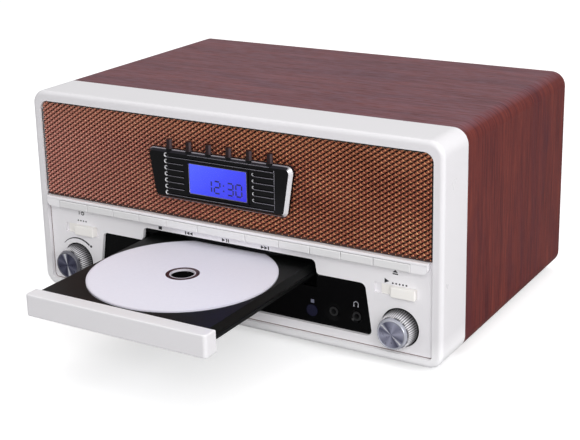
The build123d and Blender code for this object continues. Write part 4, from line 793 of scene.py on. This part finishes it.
# %% The woven grille: the two families
half_width = (grille_high.x - grille_low.x) / 2 - 1.2 * MM
half_height = (grille_high.z - grille_low.z) / 2 - 0.45 * MM
reach = half_width * math.sin(angle) + half_height * math.cos(angle)
for name, side, wire_radius, rise, waves, depth in (
    ("broad_wire", 1, 0.98 * MM, 0.12 * MM, 1.0, 1.95),
    ("fine_wire", -1, 0.36 * MM, 0.86 * MM, 2.0, 1.66),
):
    weave = grow("grille_" + name, weave_tree(finishes[name], side), {
        "Half width": half_width, "Half height": half_height, "Pitch": pitch, "Angle": angle,
        "Wire radius": wire_radius, "Rise": rise, "Waves": waves, "Wires": 2 * math.ceil(reach / pitch),
        "Middle": (0, face_y + depth * MM, grille_middle.z),
    })
    grille = piece("grille_" + name, weave, "cabinet")
    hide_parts("grille_mesh")


# %% [markdown]
# ## The grille's lower edge
# The cloth ends in a folded strip along its lower edge. It is one profile with six corners, given here as
# places behind the frame's face and above the underside, and drawn out from side to side.

# %% The grille's lower edge
hem_half_length = 148.6
hem_profile = [(0.55, 69.35), (1.3, 69.35), (1.3, 70.6), (1.1, 70.6), (1.1, 69.75), (0.55, 69.75)]
corners = len(hem_profile)
hem_points = [at(x, y, z) for x in (-hem_half_length, hem_half_length) for y, z in hem_profile]
hem_faces = [(k, (k + 1) % corners, corners + (k + 1) % corners, corners + k) for k in range(corners)]
hem_faces += [tuple(range(corners))[::-1], tuple(range(corners, 2 * corners))]
piece("grille_hem", mesh_of("grille_hem", hem_points, hem_faces), "cabinet", "grille_hem")


# %% [markdown]
# ## Spun knob faces
# Each knob's face is turned on a lathe, which leaves fine rings. A flat disc has none, so each face is a
# profile of shallow rings turned round the shaft. Its finish paints the wedges of light that such rings
# gather.

# %% Spun knob faces
def spun_face(name, body, x):
    """A face of 34 rings, each a wave of 4 steps, with one point in the middle."""
    rings, steps, radius, around = 34, 4, 8.45, 72
    face_front, wave, sunk = -9.6, 0.012, 0.03
    profile = []
    for k in range(rings * steps + 1):
        r = radius * (1 - k / (rings * steps))
        profile.append((r, face_front + wave * math.sin(2 * math.pi * k / steps) - sunk))
    points, faces = [], []
    for r, y in profile[:-1]:
        for j in range(around):
            turn = 2 * math.pi * j / around
            points.append(at(x + r * math.cos(turn), y, knob_z + r * math.sin(turn)))
    for k in range(len(profile) - 2):
        for j in range(around):
            a, b = k * around + j, k * around + (j + 1) % around
            faces.append((a, b, b + around, a + around))
    centre = len(points)
    points.append(at(x, profile[-1][1], knob_z))
    last = (len(profile) - 2) * around
    faces += [(last + j, last + (j + 1) % around, centre) for j in range(around)]
    return piece(name, mesh_of(name, points, faces, True), body, body + "_spun")


spun_face("volume_face", "volume", -knob_x)
spun_face("tuning_face", "tuning", knob_x)


# %% [markdown]
# ## Bright lines on the display
# Seven rows of slots flank the screen. The light catches each slot along its lower edge and round its left
# end, and the screen's edge catches it as well. Every such line is a tube along a rounded rectangle, which is
# nearly flat for the straight lines, or along an arc, and it is repeated down a column of points. That is
# just what Geometry Nodes do well. On the real display such lines are probably gleams on edges. Thin bright
# tubes stand in for them here as painted highlights, so they look bright from every side.

# %% Bright lines: tree
def rim_tree(material, ends_only=False):
    """A column of rounded rectangles, or of arcs open to the right where ends_only is set."""
    graph, size = new_tree("slot_rims", [
        ("Rows", "NodeSocketInt"), ("Row pitch", "NodeSocketFloat"), ("Length", "NodeSocketFloat"),
        ("Height", "NodeSocketFloat"), ("Corner", "NodeSocketFloat"), ("Rim radius", "NodeSocketFloat"),
        ("First", "NodeSocketVector"),
    ])
    if ends_only:
        shape = graph.add("GeometryNodeCurveArc", None, {
            "Resolution": 12, "Radius": size["Height"] / 2,
            "Start Angle": math.radians(62), "Sweep Angle": math.radians(236),
        })
    else:
        sides = graph.add("GeometryNodeCurvePrimitiveQuadrilateral", None,
                          {"Width": size["Length"], "Height": size["Height"]})
        shape = graph.add("GeometryNodeFilletCurve", None,
                          {"Curve": sides, "Count": 6, "Radius": size["Corner"], "Limit Radius": True})
    upright = graph.add("GeometryNodeTransform", None, {"Geometry": shape, "Rotation": (math.pi / 2, 0, 0)})
    down = graph.add("ShaderNodeCombineXYZ", None, {"X": 0.0, "Y": 0.0, "Z": size["Row pitch"] * -1})
    rows = graph.add("GeometryNodeMeshLine", None,
                     {"Count": size["Rows"], "Start Location": size["First"], "Offset": down})
    copies = graph.add("GeometryNodeInstanceOnPoints", None, {"Points": rows, "Instance": upright})
    curves = graph.add("GeometryNodeRealizeInstances", None, {"Geometry": copies})
    ring = graph.add("GeometryNodeCurvePrimitiveCircle", None,
                     {"Resolution": 6, "Radius": size["Rim radius"]})
    tubes = graph.add("GeometryNodeCurveToMesh", None,
                      {"Curve": curves, "Profile Curve": ring, "Fill Caps": ends_only})
    close_tree(graph, tubes, material)
    return graph


# %% Bright lines: rows and columns
# Painted highlights: these metal tubes stand in for gleams on the slot and screen edges.
rims, ends = rim_tree(finishes["dim_gleam"]), rim_tree(finishes["bright_gleam"], True)
screen_low, screen_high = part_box("display_module")
screen_middle = (screen_low + screen_high) / 2
screen_middle.y = face_y - 4.0 * MM
screen_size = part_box("display_lens")[1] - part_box("display_lens")[0]
front_y, row, slot_height, slot_top = -4.0, 4.27, 2.3 * MM, 112.7
ridge, under = 0.25 * MM, slot_top - 1.25
for name, tree, rows, step_down, length, height, corner, radius, first in (
    ("slot_lines_full", rims, 2, 6 * row, 82.0 * MM, ridge, 0.1, 0.13, at(0.9, front_y, under)),
    ("slot_lines_left", rims, 5, row, 13.6 * MM, ridge, 0.1, 0.13, at(-33.3, front_y, under - row)),
    ("slot_lines_right", rims, 5, row, 15.2 * MM, ridge, 0.1, 0.13, at(34.5, front_y, under - row)),
    ("slot_ends_left", ends, 7, row, 0.0, slot_height, 1.0, 0.48, at(-40.1, front_y + 0.05, slot_top)),
    ("slot_ends_right", ends, 5, row, 0.0, 1.4 * MM, 1.0, 0.26, at(27.0, front_y + 0.05, slot_top - row)),
    ("slot_line_top", rims, 1, 0.0, 62.0 * MM, ridge, 0.1, 0.13, at(8.0, front_y, slot_top + 1.9)),
    ("slot_line_end", rims, 1, 0.0, ridge, 26.0 * MM, 0.1, 0.1, at(42.6, front_y, 100.0)),
    ("screen_rim_gleam", rims, 1, 0.0, screen_size.x - 0.4 * MM, screen_size.z - 0.4 * MM, 0.8, 0.3, screen_middle),
):
    mesh = grow(name, tree, {
        "Rows": rows, "Row pitch": step_down * MM, "Length": length, "Height": height,
        "Corner": corner * MM, "Rim radius": radius * MM, "First": first,
    })
    piece(name, mesh, "cabinet")


# %% [markdown]
# ## Printed marks
# Symbols are printed on the panel under the keys and round the controls, and on the black plate: flat
# shapes of ink. Each is a polygon a twentieth of a millimetre in front of its surface, and each is a symbol
# that any player has.

# %% Shapes of the marks
def dot(x, z, radius, sides=20):
    turns = [2 * math.pi * k / sides for k in range(sides)]
    return [[(x + radius * math.cos(turn), z + radius * math.sin(turn)) for turn in turns]]


def bar(x, z, half_width, half_height):
    return [[(x - half_width, z - half_height), (x + half_width, z - half_height),
             (x + half_width, z + half_height), (x - half_width, z + half_height)]]


def arrow(x, z, size, way=1):
    """A triangle that points right, or left where way is -1."""
    points = [(x - way * size / 2, z - size / 2), (x + way * size / 2, z), (x - way * size / 2, z + size / 2)]
    return [points if way > 0 else points[::-1]]


def arc(x, z, radius, first, last, thin, thick, parts=24):
    """A band along an arc, growing from thin to thick; angles in degrees."""
    quads = []
    for k in range(parts):
        edge = []
        for share in (k / parts, (k + 1) / parts):
            turn = math.radians(first + (last - first) * share)
            half = (thin + (thick - thin) * share) / 2
            reach = (radius - half, radius + half)
            edge.append([(x + r * math.cos(turn), z + r * math.sin(turn)) for r in reach])
        (a, b), (c, d) = edge
        quads.append([a, b, d, c] if first > last else [a, c, d, b])
    return quads


def marks(name, shapes, y, finish_name):
    """Flat shapes at one depth, all facing the front."""
    points, faces = [], []
    for shape in shapes:
        faces.append(tuple(range(len(points), len(points) + len(shape))))
        points += [at(x, y, z) for x, z in shape]
    mesh = mesh_of(name, points, faces)
    form = bmesh.new()
    form.from_mesh(mesh)
    bmesh.ops.reverse_faces(form, faces=[f for f in form.faces if f.normal.y > 0])
    form.to_mesh(mesh)
    form.free()
    return piece(name, mesh, "cabinet", finish_name)


# %% Print the marks
print_z, half_mark = 57.7, 1.2
standby = arc(-120.4, print_z, 1.2, 120, 420, 0.6, 0.6) + bar(-120.4, print_z + 0.9, 0.35, 0.6)
standby += bar(-123.4, print_z, 0.35, half_mark)
transport = bar(-53.0, print_z + 0.1, 1.4, half_mark)
transport += bar(-32.2, print_z, 0.4, half_mark)
transport += arrow(-30.3, print_z, 2.4, -1) + arrow(-27.7, print_z, 2.4, -1)
transport += arrow(-1.8, print_z, 2.5) + bar(0.6, print_z, 0.4, half_mark) + bar(2.0, print_z, 0.4, half_mark)
transport += arrow(28.3, print_z, 2.4) + arrow(30.9, print_z, 2.4) + bar(32.8, print_z, 0.4, half_mark)
eject = [[(121.5, 57.5), (125.1, 57.5), (123.3, 59.3)]] + bar(123.3, 56.6, 1.8, 0.4)
dot_step, dot_radius = 2.3, 0.6
switch_dots = [dot(-124.6 + k * dot_step, 52.0, dot_radius)[0] for k in range(4)]
mute = arrow(117.6, 51.2, 3.2) + [dot(121.6 + k * dot_step, 50.3, dot_radius)[0] for k in range(5)]
volume_scale = arc(-knob_x, knob_z, 16.4, 138, 50, 0.4, 1.3)
end_reach = 16.9 * math.cos(math.radians(45))
volume_scale += dot(-knob_x + end_reach, knob_z + end_reach, 0.95)
marks("panel_marks", standby + transport + eject + switch_dots + mute + volume_scale, 2.95, "printed_ink")

headphones = arc(94.8, 30.4, 1.6, 210, -30, 0.4, 0.4)
headphones += bar(93.3, 29.3, 0.35, 0.8) + bar(96.3, 29.3, 0.35, 0.8)
marks("fascia_marks", headphones, 5.45, "pale_ink")
marks("lens_mark", bar(63.4, 26.5, 1.2, 1.2), 5.45, "dim_ink")


# %% [markdown]
# ## The shadow gaps
# Where the recessed panel meets the frame there is a fine gap, and its shade is drawn as a painted shadow
# line down both sides and along the bottom. The grille gets such a painted shadow line along its top and its
# sides.

# %% The shadow gaps
def seam_path(half, low, high, radius, parts=8):
    """From the top right, down, round two corners, and up to the top left."""
    path = [(half, high)]
    for side, first in ((1, 0), (-1, 270)):
        for k in range(parts + 1):
            turn = math.radians(first - 90 * k / parts)
            across = side * (half - radius) + radius * math.cos(turn)
            path.append((across, low + radius + radius * math.sin(turn)))
    return path + [(-half, high)]


# Painted shadow: dark strips in the rubber colour along the grille's top and sides.
grille_shadow_lines = bar(0, 136.2, 143.0, 0.3) + bar(-148.5, 102.0, 0.3, 29.0) + bar(148.5, 102.0, 0.3, 29.0)
marks("grille_gap_shadow", grille_shadow_lines, 0.8, "rubber")
# Painted shadow: a thin dark band along the gap round the panel.
seam_half, seam_low, seam_high, seam_round, seam_width = 149.25, 5.65, 60.0, 2.95, 0.4
outer = seam_path(seam_half, seam_low, seam_high, seam_round)
inner = seam_path(seam_half - seam_width, seam_low + seam_width, seam_high, seam_round - seam_width)
seam_shadow = [[outer[k], outer[k + 1], inner[k + 1], inner[k]] for k in range(len(outer) - 1)]
marks("panel_seam_shadow", seam_shadow, 2.9, "seam_shadow")


# %% [markdown]
# ## Digits on the screen
# The screen shows a plain time in segments. A segment digit is up to seven bars, so the digits are built
# from a small table of which bars are lit.

# %% Digits on the screen
LIT = {"0": "abcdef", "1": "bc", "2": "abged", "3": "abgcd"}


def digit(mark, x, z, width=4.4, height=8.0, thick=1.0):
    """The lit bars of one digit whose lower left corner is at x, z."""
    half, storey = thick / 2, height / 2
    flat, tall = width / 2 - half, storey / 2 - half
    places = {
        "a": (x + width / 2, z + height, flat, half),
        "g": (x + width / 2, z + storey, flat, half),
        "d": (x + width / 2, z, flat, half),
        "f": (x, z + 1.5 * storey, half, tall),
        "b": (x + width, z + 1.5 * storey, half, tall),
        "e": (x, z + storey / 2, half, tall),
        "c": (x + width, z + storey / 2, half, tall),
    }
    return [bar(*places[letter])[0] for letter in LIT[mark]]


shown = []
for mark, x in (("1", -10.0), ("2", -3.4), ("3", 6.6), ("0", 13.2)):
    shown += digit(mark, x, 91.4)
shown += bar(3.8, 93.6, 0.5, 0.5) + bar(3.8, 97.2, 0.5, 0.5)
marks("screen_digits", shown, -2.64, "screen_ink")


# %% [markdown]
# ## Floor and light
# The object stands on a plain pale floor under soft studio light: a large lamp overhead, a fill from the
# front and one from the right, and an even sky. The floor and the sky are brighter for the rays that come
# straight from the camera, or through glass, than for all others, so the background is white and yet adds
# no light to the object. Reflections see the darker floor and sky too, because a white floor, mirrored at
# a flat angle, made the cabinet's side too pale. The floor keeps the object's shadow, and is drawn from
# above only, so that it hides nothing in a view from below.

# %% Floor
def seen_directly(graph):
    """1 for a ray from the camera or through glass, else 0."""
    path = graph.add("ShaderNodeLightPath")
    camera_ray, glass_ray = path.out("Is Camera Ray"), path.out("Is Transmission Ray")
    return camera_ray.math("MAXIMUM", camera_ray, glass_ray)


def floor_paper():
    material, graph, shader = finish("floor_paper", Roughness=0.9)
    seen = seen_directly(graph)
    mottle = noise(graph, (3, 3, 3), 2)
    unlit = blend(graph, mottle, tone(172, 172, 173), tone(175, 175, 176))
    graph.feed(shader, {"Base Color": blend(graph, seen, unlit, tone(236, 236, 237))})
    glow = graph.add("ShaderNodeEmission", None, {"Color": (1, 1, 1, 1), "Strength": seen * 0.47})
    both = graph.add("ShaderNodeAddShader", None, {0: Link(graph, shader), 1: glow})
    below = graph.add("ShaderNodeNewGeometry").out("Backfacing")
    clear = graph.add("ShaderNodeBsdfTransparent")
    one_sided = graph.add("ShaderNodeMixShader", None, {0: below, 1: both, 2: clear})
    graph.feed(material.node_tree.nodes["Material Output"], {"Surface": one_sided})
    return material


edge = 6.0
floor_corners = [(-edge, -edge, 0), (edge, -edge, 0), (edge, edge, 0), (-edge, edge, 0)]
floor_mesh = mesh_of("floor", floor_corners, [(0, 1, 2, 3)])
floor = bpy.data.objects.new("floor", floor_mesh)
bpy.context.scene.collection.objects.link(floor)
floor_mesh.materials.append(floor_paper())
print("floor", 2 * edge, "metres wide")


# %% Light
def lamp(name, where, aim, size, power):
    light = bpy.data.lights.new(name, "AREA")
    light.shape, light.size, light.energy = "SQUARE", size, power
    holder = bpy.data.objects.new(name, light)
    bpy.context.scene.collection.objects.link(holder)
    holder.location = where
    holder.rotation_euler = (Vector(aim) - Vector(where)).to_track_quat("-Z", "Y").to_euler()
    print("lamp", name, power, "watts")


lamp("overhead", (-0.3, 0.3, 1.8), (0, 0, 0.05), 1.6, 8)
lamp("front_fill", (0.9, -1.3, 0.8), (0, 0, 0.08), 0.9, 12.5)
lamp("side_fill", (1.8, -0.2, 0.7), (0, 0, 0.08), 0.9, 13)

world = bpy.data.worlds.new("studio")
bpy.context.scene.world = world
world.use_nodes = True
sky = Graph(world.node_tree)
brightness = 0.55 + 0.45 * seen_directly(sky)
sky.feed(world.node_tree.nodes["Background"], {"Color": (1, 1, 1, 1), "Strength": brightness})
bpy.context.scene.view_settings.view_transform = "Standard"
